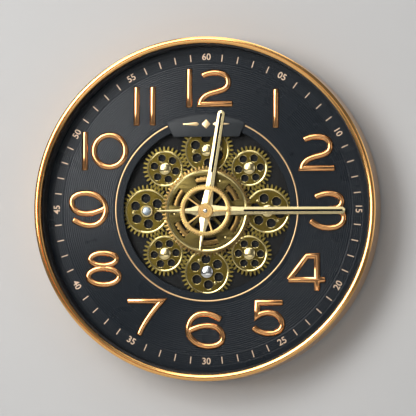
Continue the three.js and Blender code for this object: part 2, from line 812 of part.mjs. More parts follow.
// Seconds wheel: a finely toothed ring on thin spokes in front of the hands
const secondsBore = secondsArborRadius + seatGap;
addToTrain('seconds_wheel', join([
  plate(gearOutline(secondsTeeth, secondsRootRadius, secondsTipRadius), [
    circle(secondsBore, middleSteps),
    ...spokeWindows(secondsSpokes, secondsHubRadius - 0.6, secondsRingInner, secondsSpokeHalfWidth, 0, 4),
  ], secondsBottom, secondsTop),
  ring(secondsBore, secondsHubRadius, secondsHubBottom, secondsHubTop, middleSteps),
]), roseGold);

// Cells: one in the movement's bay, one in the case for the gear motor
function cell() {
  const half = cellLength / 2;
  return spun([
    [0, -half],
    [cellRadius, -half],
    [cellRadius, half - cellNubLength],
    [cellNubRadius, half - cellNubLength],
    [cellNubRadius, half],
    [0, half],
  ], smallSteps).rotateY(Math.PI / 2).translate(0, 0, cellCentreHeight);
}
addToTrain('movement_cell', cell(), cellSkin, new THREE.Vector2(0, movementCellY));
addPiece('motor_cell', cell(), cellSkin, new THREE.Vector2(0, -motorCellDrop));

// Case: a tub behind the dial, open at the back where the door covers the
// movement and the cell, with bosses that carry the gear plate
const caseRadius = boreRadius - seatGap;
const wellHalfLength = cellLength / 2 + cellNubLength + seatGap;
const wellHalfHeight = cellRadius + seatGap;
const bayTop = movementSize / 2 - trainDrop + 2;
const bayBottom = -motorCellDrop - wellHalfHeight - cellWall - 1;
const bayMiddle = (bayTop + bayBottom) / 2;
const bayHeight = bayTop - bayBottom;
const bayWidth = movementSize + 4;
const doorWidth = bayWidth + 2 * doorLedge;
const doorHeight = bayHeight + 2 * doorLedge;
const hangerY = innerRadius - hangerDrop;
const bossCircle = openingRadius + gearPlateOverlap - bossRadius - 1.5;
const tub = spun([
  [0, 0],
  [caseRadius, 0],
  [caseRadius, dialBack - seatGap],
  [caseRadius - caseWall, dialBack - seatGap],
  [caseRadius - caseWall, backThickness],
  [0, backThickness],
], largeSteps);
const bossPoints = circle(bossCircle, bossCount, undefined, bossTurn * degrees);
const bosses = bossPoints.map((point) => rod(bossRadius, backThickness - 0.5, gearPlateHeight - seatGap, 8)
  .translate(point.x, point.y - trainDrop, 0));
const wellOuter = block(2 * (wellHalfLength + cellWall), 2 * (wellHalfHeight + cellWall),
  backThickness - 0.5, gearPlateHeight - seatGap, 0, -motorCellDrop);
const wellInner = block(2 * wellHalfLength, 2 * wellHalfHeight,
  -1, cellCentreHeight + wellHalfHeight, 0, -motorCellDrop);
const windowBottom = -motorCellDrop + wellHalfHeight + cellWall;
const bayWindow = block(bayWidth, bayTop - windowBottom,
  -1, backThickness + 1, 0, (bayTop + windowBottom) / 2);
const doorRebate = block(doorWidth + 2 * seatGap, doorHeight + 2 * seatGap,
  -1, doorThickness + seatGap, 0, bayMiddle);
const hangerRebate = block(hangerWidth + 2 * seatGap, hangerHeight + 2 * seatGap,
  -1, hangerThickness + seatGap, 0, hangerY);
const hangerWindow = block(hangerWidth - 14, hangerHeight - 6, -1, backThickness + 1, 0, hangerY);
addPiece('case_body', cut(
  join([tub, ...bosses, wellOuter]),
  [wellInner, bayWindow, doorRebate, hangerRebate, hangerWindow],
), caseBlack);
addPiece('rear_door', block(doorWidth, doorHeight, 0, doorThickness, 0, bayMiddle), mouldedBlack);

// Hanger: a steel plate let into the back, with a keyhole for the hook
function keyhole() {
  const halfAngle = Math.asin(keyholeSlotHalfWidth / keyholeRadius);
  const start = Math.PI / 2 + halfAngle;
  const round = arcPoints(keyholeRadius, start, start + fullTurn - 2 * halfAngle, 12);
  const top = arcPoints(keyholeSlotHalfWidth, 0, Math.PI, 4);
  return [...round, ...top.map((point) => point.add(new THREE.Vector2(0, keyholeSlotLength)))];
}
addPiece('hanger_plate', plate(
  roundedBox(hangerWidth, hangerHeight, 2),
  [keyhole().map((point) => point.add(new THREE.Vector2(0, -keyholeRadius + 1)))],
  seatGap,
  hangerThickness,
), steel, new THREE.Vector2(0, hangerY));

const part = new THREE.Group();
part.add(clock);

export default part;
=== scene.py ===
import math

import bmesh
import bpy
from mathutils import Matrix, Vector


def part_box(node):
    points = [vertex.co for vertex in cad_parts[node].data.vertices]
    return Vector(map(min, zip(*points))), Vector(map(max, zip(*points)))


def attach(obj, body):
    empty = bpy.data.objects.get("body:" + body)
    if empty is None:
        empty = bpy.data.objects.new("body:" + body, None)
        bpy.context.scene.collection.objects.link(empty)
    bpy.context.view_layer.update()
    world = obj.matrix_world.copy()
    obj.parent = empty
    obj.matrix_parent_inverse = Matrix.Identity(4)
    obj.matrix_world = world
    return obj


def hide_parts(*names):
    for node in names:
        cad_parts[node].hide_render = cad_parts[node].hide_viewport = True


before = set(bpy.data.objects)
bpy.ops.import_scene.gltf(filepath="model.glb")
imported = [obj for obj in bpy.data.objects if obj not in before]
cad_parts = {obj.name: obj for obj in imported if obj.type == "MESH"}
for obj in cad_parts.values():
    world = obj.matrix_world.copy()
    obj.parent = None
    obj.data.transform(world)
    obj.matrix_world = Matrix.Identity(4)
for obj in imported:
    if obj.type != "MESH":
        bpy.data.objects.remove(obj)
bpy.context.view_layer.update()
scene = bpy.context.scene
scene.view_settings.view_transform = "Standard"


# Camera: it stands two and a half metres in front of the clock with a long
# lens, a little to the right of its middle and a little below it.
def add_object(name, data):
    """Puts a camera, lamp, curve or mesh in the scene."""
    thing = bpy.data.objects.new(name, data)
    scene.collection.objects.link(thing)
    return thing


mm = 0.001
dial_front = -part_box("dial_plate")[0].y / mm
camera_turn = math.radians(8.1)
camera_rise = math.radians(-1.6)
camera_distance = 2505 * mm
aim = Vector((1.94, -dial_front, 1.15)) * mm
towards_camera = Vector((
    math.sin(camera_turn) * math.cos(camera_rise),
    -math.cos(camera_turn) * math.cos(camera_rise),
    math.sin(camera_rise),
))
camera_data = bpy.data.cameras.new("camera")
camera_data.sensor_width = 36
camera_data.lens = 185
camera_data.clip_end = 50
camera = add_object("camera", camera_data)
camera.location = aim + towards_camera * camera_distance
camera.rotation_euler = towards_camera.to_track_quat("Z", "Y").to_euler()
scene.camera = camera


# Wall and floor: pale painted plaster. The wall is open behind the clock,
# and is seen only from in front, so that the clock's back stays in view.
def new_finish(name):
    """A material and its shader."""
    finish = bpy.data.materials.new(name)
    finish.use_nodes = True
    return finish, finish.node_tree.nodes["Principled BSDF"]


def add_node(neighbour, kind, values=None, **settings):
    """Adds a node to the finish of another one, with its settings and the values of its inputs."""
    node = neighbour.id_data.nodes.new(f"ShaderNode{kind}")
    for setting, value in settings.items():
        setattr(node, setting, value)
    for entry, value in (values or {}).items():
        node.inputs[entry].default_value = value
    return node


def wire(source, output, target, entry):
    """Joins an output of one node to an input of another."""
    source.id_data.links.new(source.outputs[output], target.inputs[entry])


plaster, paint = new_finish("pale_plaster")
paint.inputs["Base Color"].default_value = (0.56, 0.555, 0.545, 1)
paint.inputs["Roughness"].default_value = 0.85
one_sided = add_node(paint, "MixShader")
wire(add_node(paint, "NewGeometry"), "Backfacing", one_sided, "Fac")
wire(paint, "BSDF", one_sided, 1)
wire(add_node(paint, "BsdfTransparent"), "BSDF", one_sided, 2)
wire(one_sided, "Shader", plaster.node_tree.nodes["Material Output"], "Surface")


def plastered(name, points, faces):
    """A plain surface of the room."""
    mesh = bpy.data.meshes.new(name)
    mesh.from_pydata(points, [], faces)
    mesh.materials.append(plaster)
    return add_object(name, mesh)


wall_half = 2.6
wall_gap = 0.0004
hole_radius = 188 * mm
wall_steps = 64
wall_points = []
wall_faces = []
for step in range(wall_steps):
    angle = 2 * math.pi * step / wall_steps
    reach = wall_half / max(abs(math.cos(angle)), abs(math.sin(angle)))
    for radius in (hole_radius, reach):
        wall_points.append((radius * math.cos(angle), wall_gap, radius * math.sin(angle)))
    here = 2 * step
    after = 2 * ((step + 1) % wall_steps)
    wall_faces.append((here, here + 1, after + 1, after))
wall = plastered("wall", wall_points, wall_faces)

floor_drop = 0.9
floor = plastered("floor", [
    (-wall_half, -wall_half, -floor_drop), (wall_half, -wall_half, -floor_drop),
    (wall_half, wall_half, -floor_drop), (-wall_half, wall_half, -floor_drop),
], [(0, 1, 2, 3)])

# Light: a tall window at the left and a skylight over it give the highlights
# and the shadows. A broad dim panel in front is what flat metal mirrors, and
# weak ones fill in from above, the right, below and behind the clock.
for name, place, width, height, watts in (
    ("window", (-1.25, -2.15, 0.57), 1.1, 1.36, 37),
    ("skylight", (-0.8, -2.1, 1.4), 1.4, 0.9, 17),
    ("front_panel", (-0.5, -2.25, 0.55), 1.6, 1.4, 4.5),
    ("top_panel", (0.1, -1.5, 1.75), 1.2, 0.5, 4),
    ("side_fill", (1.7, -1.9, 0.3), 0.5, 1.4, 2),
    ("low_fill", (0.1, -1.9, -0.72), 1.3, 0.3, 1.3),
    ("back_fill", (0.9, 1.9, 1.2), 1.4, 1.4, 40),
):
    panel = bpy.data.lights.new(name, "AREA")
    panel.shape = "RECTANGLE"
    panel.size = width
    panel.size_y = height
    panel.energy = watts
    lamp = add_object(name, panel)
    lamp.location = place
    lamp.rotation_euler = Vector(place).to_track_quat("Z", "Y").to_euler()
    lamp.visible_camera = False
room = bpy.data.worlds.new("room")
room.use_nodes = True
air = room.node_tree.nodes["Background"]
air.inputs["Color"].default_value = (0.92, 0.94, 1, 1)
air.inputs["Strength"].default_value = 0.14
scene.world = room


# Case: a round tub moulded in black plastic, open in front. It carries the
# bosses for the gear plate, a well for a cell, and recesses in its back for
# the door and the keyhole plate.
def finished_mesh(name, shape):
    """Turns a drawn shape into a mesh."""
    mesh = bpy.data.meshes.new(name)
    shape.to_mesh(mesh)
    shape.free()
    return mesh


def settled_mesh(thing):
    """The mesh that an object's curve or modifiers come to, in place of the object."""
    bpy.context.view_layer.update()
    mesh = bpy.data.meshes.new_from_object(thing.evaluated_get(bpy.context.evaluated_depsgraph_get()))
    bpy.data.objects.remove(thing)
    return mesh


def turned_mesh(name, profile, steps=192):
    """Spins a profile of (radius, height) in millimetres round the dial's axis."""
    shape = bmesh.new()
    turns = [2 * math.pi * step / steps for step in range(steps)]
    rings = []
    for radius, height in profile:
        on_axis = radius < 1e-6
        rings.append([
            shape.verts.new((radius * math.cos(turn), radius * math.sin(turn), height))
            for turn in (turns[:1] if on_axis else turns)
        ])
    for inner, outer in zip(rings, rings[1:] + rings[:1]):
        for step in range(steps):
            after = (step + 1) % steps
            corners = [inner[step % len(inner)], outer[step % len(outer)],
                       outer[after % len(outer)], inner[after % len(inner)]]
            distinct = list(dict.fromkeys(corners))
            if len(distinct) > 2:
                shape.faces.new(distinct)
    bmesh.ops.recalc_face_normals(shape, faces=shape.faces)
    return finished_mesh(name, shape)


def block_mesh(name, low, high, softness=0):
    """A block between two corners, in millimetres, with its edges rounded."""
    shape = bmesh.new()
    bmesh.ops.create_cube(shape, size=1)
    bmesh.ops.scale(shape, vec=Vector(high) - Vector(low), verts=shape.verts)
    bmesh.ops.translate(shape, vec=(Vector(high) + Vector(low)) / 2, verts=shape.verts)
    if softness:
        bmesh.ops.bevel(shape, geom=shape.edges[:], offset=softness, segments=3, affect="EDGES")
    return finished_mesh(name, shape)


def shifted(mesh, across, up):
    """Moves a mesh across and up on the drawing."""
    mesh.transform(Matrix.Translation((across, up, 0)))
    return mesh


def combined(name, first_mesh, other_meshes, operation):
    """Welds other meshes to the first, or cuts them out of it."""
    first = add_object(name, first_mesh)
    others = [add_object(name, mesh) for mesh in other_meshes]
    for other in others:
        step = first.modifiers.new("step", "BOOLEAN")
        step.operation = operation
        step.solver = "EXACT"
        step.object = other
    mesh = settled_mesh(first)
    for used in others:
        bpy.data.objects.remove(used)
    mesh.materials.clear()
    return mesh


def set_in_clock(name, mesh, finishes, centre=(0, 0), turn=0, crease=30):
    """Gives a drawing in millimetres its finishes and stands it upright at its centre on the dial.

    Each corner keeps its place on the drawing, for the finishes that are turned on a lathe.
    """
    plan = mesh.uv_layers.new(name="plan")
    for loop in mesh.loops:
        plan.data[loop.index].uv = mesh.vertices[loop.vertex_index].co.xy
    upright = Matrix.Rotation(math.pi / 2, 4, "X") @ Matrix.Scale(mm, 4)
    place = Matrix.Translation((*centre, 0)) @ Matrix.Rotation(turn, 4, "Z")
    mesh.transform(upright @ place)
    mesh.shade_smooth()
    mesh.set_sharp_from_angle(angle=math.radians(crease))
    for finish in finishes:
        mesh.materials.append(finish)
    return add_object(name, mesh)


def noise_over(place, output, scale, detail):
    """Cloudy noise over the place that another node gives."""
    noise = add_node(place, "TexNoise", {"Scale": scale, "Detail": detail})
    wire(place, output, noise, "Vector")
    return noise


def vary_colour(pattern, output, shader, colour, darker, lighter):
    """Lets a pattern move a colour between two shares of itself."""
    shade = add_node(shader, "Mix", {
        "A": (*[c * darker for c in colour], 1),
        "B": (*[min(1, c * lighter) for c in colour], 1),
    }, data_type="RGBA")
    wire(pattern, output, shade, "Factor")
    wire(shade, "Result", shader, "Base Color")


def vary_roughness(pattern, shader, low, high):
    """Lets a pattern move the roughness between two values."""
    sheen = add_node(shader, "MapRange", {"To Min": low, "To Max": high})
    wire(pattern, "Fac", sheen, "Value")
    wire(sheen, "Result", shader, "Roughness")


def emboss(pattern, shader, strength, distance):
    """Raises a pattern on the surface."""
    relief = add_node(shader, "Bump", {"Strength": strength, "Distance": distance})
    wire(pattern, "Fac", relief, "Height")
    wire(relief, "Normal", shader, "Normal")


def moulded_plastic(name, colour, roughness, grain=0.25):
    """Moulded plastic with a fine spark-eroded grain and faint flow marks."""
    plastic, shader = new_finish(name)
    place = add_node(shader, "TexCoord")
    flow = noise_over(place, "Object", 14, 3)
    vary_colour(flow, "Fac", shader, colour, 0.85, 1.2)
    vary_roughness(flow, shader, roughness * 0.9, roughness * 1.15)
    emboss(noise_over(place, "Object", 1400, 2), shader, grain, 0.0001)
    return plastic


def on_circle(radius, degrees):
    """A point at an angle in degrees, anticlockwise from the right."""
    return (radius * math.cos(math.radians(degrees)), radius * math.sin(math.radians(degrees)))


def corners_of(node):
    """A node's least and greatest x, y and height on the drawing, in millimetres."""
    low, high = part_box(node)
    return (low.x / mm, low.z / mm, -high.y / mm), (high.x / mm, high.z / mm, -low.y / mm)


def depths_of(node):
    """How far the back and the front of a node stand off the wall."""
    low, high = corners_of(node)
    return low[2], high[2]


def radius_of(node):
    """The outer radius of a node that is centred on the dial."""
    return corners_of(node)[1][0]


def centre_of(node):
    """The middle of a node on the drawing."""
    low, high = corners_of(node)
    return (low[0] + high[0]) / 2, (low[1] + high[1]) / 2


def back_groove(start, end, depth):
    """A shallow groove round the back of the case."""
    return [(start, 0), (start + 0.4, depth), (end - 0.4, depth), (end, 0)]


def recess_for(name, low, high):
    """A recess that a part drops into with a small gap all round."""
    return block_mesh(name, (low[0] - recess_gap, low[1] - recess_gap, -1),
                      (high[0] + recess_gap, high[1] + recess_gap, high[2] + recess_gap))


case_back = 2.5
case_radius = radius_of("case_body")
case_wall = 3
case_inner = case_radius - case_wall
case_front = depths_of("case_body")[1]
door_low, door_high = corners_of("rear_door")
keyhole_low, keyhole_high = corners_of("hanger_plate")
cell_low, cell_high = corners_of("motor_cell")
recess_gap = 0.3
well_wall = 1.3
well_top = 17.5
well_inside_top = 16.3
case_tub = turned_mesh("case_tub", [
    (0, 0),
    *back_groove(112, 115, 0.5),
    *back_groove(176, 181, 0.7),
    (case_radius - 1.8, 0), (case_radius - 0.6, 0.5), (case_radius, 1.8), (case_radius, case_front),
    (case_inner, case_front), (case_inner, case_back + 1.2), (case_inner - 1.2, case_back),
    (0, case_back),
])
case_added = [block_mesh(
    "well",
    (cell_low[0] - 2 * well_wall, cell_low[1] - well_wall, case_back - 0.5),
    (cell_high[0] + 2 * well_wall, cell_high[1] + well_wall, well_top),
    0.8,
)]
boss_radius = 4
boss_foot = 2
boss_circle = 106.5
boss_turn = 22.5
boss_drop = 2.2
for quarter in range(4):
    boss_x, boss_y = on_circle(boss_circle, boss_turn + 90 * quarter)
    boss = turned_mesh("boss", [
        (0, boss_foot), (boss_radius + 0.4, boss_foot), (boss_radius, boss_foot + 1.2),
        (boss_radius, well_top), (0, well_top),
    ], 32)
    case_added.append(shifted(boss, boss_x, boss_y - boss_drop))
case_whole = combined("case_whole", case_tub, case_added, "UNION")
door_ledge = 3
bay_gap = 2
window_side = 7
window_end = 3
case_mesh = combined("case_tub_black", case_whole, [
    recess_for("door_recess", door_low, door_high),
    recess_for("keyhole_recess", keyhole_low, keyhole_high),
    block_mesh("keyhole_window", (keyhole_low[0] + window_side, keyhole_low[1] + window_end, -1),
               (keyhole_high[0] - window_side, keyhole_high[1] - window_end, case_back + 1)),
    block_mesh("cell_well", (cell_low[0] - well_wall, cell_low[1] - recess_gap, -1),
               (cell_high[0] + well_wall, cell_high[1] + recess_gap, well_inside_top)),
    block_mesh("movement_bay", (door_low[0] + door_ledge, cell_high[1] + bay_gap, -1),
               (door_high[0] - door_ledge, door_high[1] - door_ledge, case_back + 1)),
], "DIFFERENCE")
case_plastic = moulded_plastic("case_plastic", (0.02, 0.02, 0.021), 0.5, 0.5)
case = set_in_clock("case_tub_black", case_mesh, [case_plastic])
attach(case, "case")
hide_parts("case_body")


# Keyhole plate: a zinc-plated steel stamping let into the back of the case.
# The clock hangs by it on one screw.
def arc(radius, middle, half_angle, steps):
    """Points along an arc, anticlockwise, or clockwise with a negative half angle."""
    return [on_circle(radius, middle - half_angle + 2 * half_angle * i / steps) for i in range(steps + 1)]


def moved(points, across, up):
    """The same points further across and up."""
    return [(x + across, y + up) for x, y in points]


def ring_of_points(radius, steps, centre=(0, 0)):
    """A circle of points, anticlockwise."""
    return moved([on_circle(radius, 360 * step / steps) for step in range(steps)], *centre)


def round_cornered(low, high, corner):
    """A rectangle with rounded corners, anticlockwise from the right."""
    points = []
    for quarter, (x, y) in enumerate((
        (high[0] - corner, high[1] - corner), (low[0] + corner, high[1] - corner),
        (low[0] + corner, low[1] + corner), (high[0] - corner, low[1] + corner),
    )):
        points += moved(arc(corner, 90 * quarter + 45, 45, 6), x, y)
    return points


def stamped_mesh(name, outline, holes, back, front, rounding, rounding_steps=2):
    """A flat plate cut to an outline with holes, its edges broken by a small rounding."""
    cutter = bpy.data.curves.new(name, "CURVE")
    cutter.dimensions = "2D"
    cutter.fill_mode = "BOTH"
    for loop in [outline, *holes]:
        spline = cutter.splines.new("POLY")
        spline.points.add(len(loop) - 1)
        for point, (x, y) in zip(spline.points, loop):
            point.co = (x, y, 0, 1)
        spline.use_cyclic_u = True
    cutter.extrude = (front - back) / 2 - rounding
    cutter.bevel_depth = rounding
    cutter.bevel_resolution = rounding_steps
    cutter.offset = -rounding
    shape = bmesh.new()
    shape.from_mesh(settled_mesh(add_object(name, cutter)))
    bmesh.ops.remove_doubles(shape, verts=shape.verts, dist=1e-4)
    bmesh.ops.translate(shape, vec=(0, 0, (front + back) / 2), verts=shape.verts)
    bmesh.ops.recalc_face_normals(shape, faces=shape.faces)
    return finished_mesh(name, shape)


def polished_metal(name, colour, roughness, mottle=0.05, scratch=0.02):
    """Metal with a faint cloudy tint, uneven polish and hairline scratches."""
    metal, shader = new_finish(name)
    shader.inputs["Metallic"].default_value = 1
    place = add_node(shader, "TexCoord")
    clouds = noise_over(place, "Object", 38, 4)
    vary_colour(clouds, "Fac", shader, colour, 1 - mottle, 1 + mottle)
    vary_roughness(clouds, shader, roughness * 0.8, roughness * 1.25)
    stretch = add_node(shader, "Mapping", {"Scale": (900, 900, 140)})
    wire(place, "Object", stretch, "Vector")
    emboss(noise_over(stretch, "Vector", 1, 2), shader, scratch, 0.0002)
    return metal


keyhole_x, keyhole_y = centre_of("hanger_plate")
keyhole_round = 5
keyhole_slot = 2.5
slot_rise = 9
keyhole_drop = 4
neck = math.degrees(math.asin(keyhole_slot / keyhole_round))
keyhole = moved(
    arc(keyhole_round, 270, 180 - neck, 32) + moved(arc(keyhole_slot, 90, 90, 12), 0, slot_rise),
    keyhole_x, keyhole_y - keyhole_drop)
keyhole_plate_corner = 2
rivet_radius = 1.6
rivet_spread = 18.4
rivet_places = [(keyhole_x + side * rivet_spread, keyhole_y) for side in (-1, 1)]
rivet_holes = [ring_of_points(rivet_radius, 20, rivet_place) for rivet_place in rivet_places]
keyhole_mesh = stamped_mesh(
    "keyhole_plate", round_cornered(keyhole_low, keyhole_high, keyhole_plate_corner),
    [keyhole, *rivet_holes], *depths_of("hanger_plate"), 0.15)
zinc_steel = polished_metal("zinc_steel", (0.6, 0.62, 0.63), 0.28, 0.12, 0.05)
keyhole_plate = set_in_clock("keyhole_plate", keyhole_mesh, [zinc_steel])
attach(keyhole_plate, "case")
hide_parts("hanger_plate")


# Works behind the gear plate: a moulded quartz movement with its threaded
# barrel, cell and setting knob, and a drawn steel gear motor with its cell.
def refinished(node, finish):
    """Gives a carried-over solid its finish."""
    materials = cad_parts[node].data.materials
    materials.clear()
    materials.append(finish)


black_plastic = moulded_plastic("black_plastic", (0.014, 0.014, 0.015), 0.42)
knob_plastic = moulded_plastic("knob_plastic", (0.35, 0.35, 0.34), 0.4, 0.1)
cell_sleeve = moulded_plastic("cell_sleeve", (0.03, 0.07, 0.14), 0.3, 0.05)
refinished("movement", black_plastic)
refinished("setting_knob", knob_plastic)
refinished("movement_cell", cell_sleeve)
refinished("motor_cell", cell_sleeve)
refinished("gear_motor", zinc_steel)


# Gear plate: sheet aluminium in near black lacquer, screwed to the bosses of
# the case. It carries every stud and the bearing of the central wheel.
def dark_lacquer(name, colour, roughness, gloss):
    """A satin dark coat with a fine fleck and a soft cloudy sheen."""
    lacquer, shader = new_finish(name)
    shader.inputs["Specular IOR Level"].default_value = gloss
    place = add_node(shader, "TexCoord")
    fleck = noise_over(place, "Object", 2600, 1)
    vary_colour(fleck, "Fac", shader, colour, 0.9, 1.1)
    vary_roughness(noise_over(place, "Object", 22, 3), shader, roughness * 0.9, roughness * 1.1)
    emboss(fleck, shader, 0.06, 0.00003)
    return lacquer


plate_lacquer = dark_lacquer("gear_plate_lacquer", (0.006, 0.0062, 0.006), 0.55, 0.2)
refinished("gear_plate", plate_lacquer)


# Studs: each outer gear but the left one turns on a brass stud pressed into
# the gear plate, under a polished gold dome. The bottom dome is bright steel.
gear_back, face_front = depths_of("large_gear_top")
tooth_width = 1.4
gear_front = gear_back + tooth_width
cap_back = face_front + 0.3
gear_sizes = {
    "top": "large", "top_right": "small", "right": "large", "bottom_right": "small",
    "bottom": "large", "bottom_left": "small", "left": "large", "top_left": "small",
}
gear_centres = {place: centre_of(f"{size}_gear_{place}") for place, size in gear_sizes.items()}

pillar_radius = 4.6
journal_radius = 3
cap_radius = 7.3
stud_back, stud_front = depths_of("stud_top")
dome_radius = 7
dome_rise = 1.7
dome = [(dome_radius * (1 - i / 12), stud_front - dome_rise * (1 - i / 12) ** 2) for i in range(12)]
dome_gold = polished_metal("dome_gold", (0.97, 0.78, 0.38), 0.16)
bright_steel = polished_metal("bright_steel", (0.78, 0.78, 0.76), 0.12)
for place, centre in gear_centres.items():
    if place == "left":
        continue
    stud_mesh = turned_mesh(f"stud_{place}", [
        (0, stud_back), (pillar_radius, stud_back), (pillar_radius, gear_back - 0.3),
        (journal_radius, gear_back - 0.3), (journal_radius, cap_back),
        (cap_radius - 0.2, cap_back), (cap_radius, cap_back + 0.2),
        (cap_radius, stud_front - dome_rise - 0.5), (cap_radius - 0.1, stud_front - dome_rise - 0.15),
        *dome,
        (0, stud_front),
    ], 56)
    dome_finish = bright_steel if place == "bottom" else dome_gold
    stud = set_in_clock(f"stud_{place}_dome", stud_mesh, [dome_finish], centre, crease=40)
    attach(stud, "case")
    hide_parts(f"stud_{place}")


# Outer gears: four large and four small ones, hobbed in brass with long thin
# teeth. Each has a turned face with a bright raised rim and six drilled holes
# with bright mouths, and the large ones have two small domed pips.
def tooth_outline(teeth, root, pitch_radius, tip, turn=0):
    """Long narrow teeth with rounded tips, the first one centred on the x axis."""
    pitch = 360 / teeth
    flank = [
        (root, 0.33), (root + 0.35, 0.27), (pitch_radius, 0.2),
        (pitch_radius + (tip - pitch_radius) * 0.55, 0.15), (tip - 0.18, 0.1), (tip, 0.055),
    ]
    points = []
    for tooth in range(teeth):
        middle = turn + pitch * tooth
        points += [on_circle(radius, middle - pitch * share) for radius, share in flank]
        points += [on_circle(radius, middle + pitch * share) for radius, share in reversed(flank)]
    return points


def one_piece(name, *layers):
    """Puts meshes together in one, each with the number of its finish."""
    shape = bmesh.new()
    for mesh, finish_number in layers:
        start = len(shape.faces)
        shape.from_mesh(mesh)
        shape.faces.ensure_lookup_table()
        for face in shape.faces[start:]:
            face.material_index = finish_number
        bpy.data.meshes.remove(mesh)
    return finished_mesh(name, shape)


def raised_rim(name, inner, outer, foot, crest, steps=128):
    """A ring with two sloping sides that stands proud of a turned face."""
    ridge = outer * 0.55 + inner * 0.45
    return turned_mesh(name, [
        (outer, foot - 0.3), (outer, foot), (ridge + 0.1, crest),
        (ridge - 0.1, crest), (inner, foot), (inner, foot - 0.3),
    ], steps)


def countersink(radius, back, front):
    """The wall of a drilled hole with its shallow mouth."""
    return turned_mesh("countersink", [
        (radius, back), (radius, front - 0.3), (radius + 0.05, front - 0.2),
        (radius + mouth, front), (radius + mouth, back),
    ], 36)


def turned_metal(name, colour, roughness):
    """Metal faced on a lathe: fine rings round its centre, a cloudy tint and painted shade in their hollows.
    """
    metal, shader = new_finish(name)
    shader.inputs["Metallic"].default_value = 1
    span = add_node(shader, "VectorMath", operation="LENGTH")
    wire(add_node(shader, "UVMap", uv_map="plan"), "UV", span, "Vector")
    rings = add_node(shader, "TexNoise", {"Scale": 5, "Detail": 4}, noise_dimensions="1D")
    wire(span, "Value", rings, "W")
    clouds = noise_over(add_node(shader, "TexCoord"), "Object", 60, 4)
    # Painted shade: the colour darkens where the rings' relief is low, mixed with a random cloudy tint.
    tint_and_ring_shade = add_node(shader, "Math", operation="MULTIPLY")
    wire(rings, "Fac", tint_and_ring_shade, 0)
    wire(clouds, "Fac", tint_and_ring_shade, 1)
    tint_and_ring_shade_level = add_node(shader, "MapRange", {"From Min": 0.1, "From Max": 0.45})
    wire(tint_and_ring_shade, "Value", tint_and_ring_shade_level, "Value")
    vary_colour(tint_and_ring_shade_level, "Result", shader, colour, 0.7, 1.25)
    vary_roughness(rings, shader, roughness * 0.75, roughness * 1.3)
    emboss(rings, shader, 0.3, 0.00005)
    return metal


olive_brass = turned_metal("olive_brass", (0.12, 0.085, 0.015), 0.3)
tooth_brass = turned_metal("tooth_brass", (0.27, 0.2, 0.045), 0.3)
rim_brass = polished_metal("rim_brass", (0.78, 0.63, 0.27), 0.14, 0.1)
gear_module = 1.65
tooth_root = 3.2
tooth_tip = 1.6
stud_bore = journal_radius + 0.3
shaft_bore = 5.1
rim_width = 2
rim_rise = 0.3
mouth = 0.5
pip_front = face_front + 0.35
pip_radius = 2
gear_kinds = {
    "large": {"teeth": 36, "face": 25.9, "hole": 5.4, "circle": 15.1, "turn": 6, "facing": 0},
    "small": {"teeth": 30, "face": 21, "hole": 4.4, "circle": 13, "turn": 2, "facing": 0.5},
}
gear_angles = {"top": 90, "top_right": 45, "right": 0, "bottom_right": -45,
               "bottom": -90, "bottom_left": -135, "left": 180, "top_left": 135}
teeth_turned = {"top": 0, "top_right": 1, "right": 4, "bottom_right": 3,
                "bottom": 0, "bottom_left": 1, "left": 3, "top_left": 2}
pip_angles = {"top": 90, "right": 90, "bottom": 30, "left": 150}
for place, size in gear_sizes.items():
    kind = gear_kinds[size]
    node = f"{size}_gear_{place}"
    face = kind["face"]
    pitch_radius = gear_module * kind["teeth"] / 2
    gear_teeth = stamped_mesh(
        node, tooth_outline(kind["teeth"], pitch_radius - tooth_root, pitch_radius, pitch_radius + tooth_tip),
        [ring_of_points(face - rim_width, 96)], gear_back, gear_front, 0.14, 1)
    hole_places = [on_circle(kind["circle"], kind["turn"] + 60 * i) for i in range(6)]
    holes = [ring_of_points(kind["hole"] + mouth, 36, hole_place) for hole_place in hole_places]
    bore = ring_of_points(shaft_bore if place == "left" else stud_bore, 28)
    gear_face = stamped_mesh(
        node, ring_of_points(face - 0.2, 120), [*holes, bore], gear_back, face_front - rim_rise, 0.1, 1)
    gear_rim = raised_rim(node, face - rim_width, face, face_front - rim_rise - 0.02, face_front)
    layers = [(gear_teeth, 2), (gear_face, 0), (gear_rim, 1)]
    for hole_place in hole_places:
        hole_wall = countersink(kind["hole"], gear_back + 0.1, face_front - rim_rise)
        layers.append((shifted(hole_wall, *hole_place), 1))
    for i in range(2 if size == "large" else 0):
        pip = turned_mesh("pip", [
            (0, gear_front), (pip_radius, gear_front), (pip_radius, face_front - 0.3),
            (pip_radius - 0.2, face_front - 0.05), (pip_radius / 2, pip_front - 0.08), (0, pip_front),
        ], 20)
        pip_place = on_circle(kind["circle"] + 1.2, kind["turn"] + pip_angles[place] + 180 * i)
        layers.append((shifted(pip, *pip_place), 1))
    teeth_on = kind["facing"] + teeth_turned[place]
    turn = math.radians(gear_angles[place] + 180 + 360 / kind["teeth"] * teeth_on)
    gear = set_in_clock(f"{node}_brass", one_piece(node, *layers), [olive_brass, rim_brass, tooth_brass],
                        gear_centres[place], turn, crease=15)
    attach(gear, f"{size}_{place}")
    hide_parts(node)

# Drive of the left gear: a turned steel shaft from the gear motor, its flat
# end ground in six sides, held in a gold collar on the gear's face.
shaft_back, shaft_front = depths_of("drive_shaft")
shaft_radius = 4.8
flats_back = cap_back + 0.4
shaft_body = turned_mesh("drive_shaft", [
    (0, shaft_back), (shaft_radius, shaft_back), (shaft_radius, flats_back), (0, flats_back),
], 48)
shaft_end = stamped_mesh("shaft_end", ring_of_points(shaft_radius, 6), [], cap_back, shaft_front, 0.35)
turned_steel = turned_metal("turned_steel", (0.4, 0.46, 0.5), 0.28)
shaft = set_in_clock("drive_shaft_steel", one_piece("drive_shaft", (shaft_body, 0), (shaft_end, 0)),
                     [turned_steel], gear_centres["left"])
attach(shaft, "large_left")
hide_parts("drive_shaft")

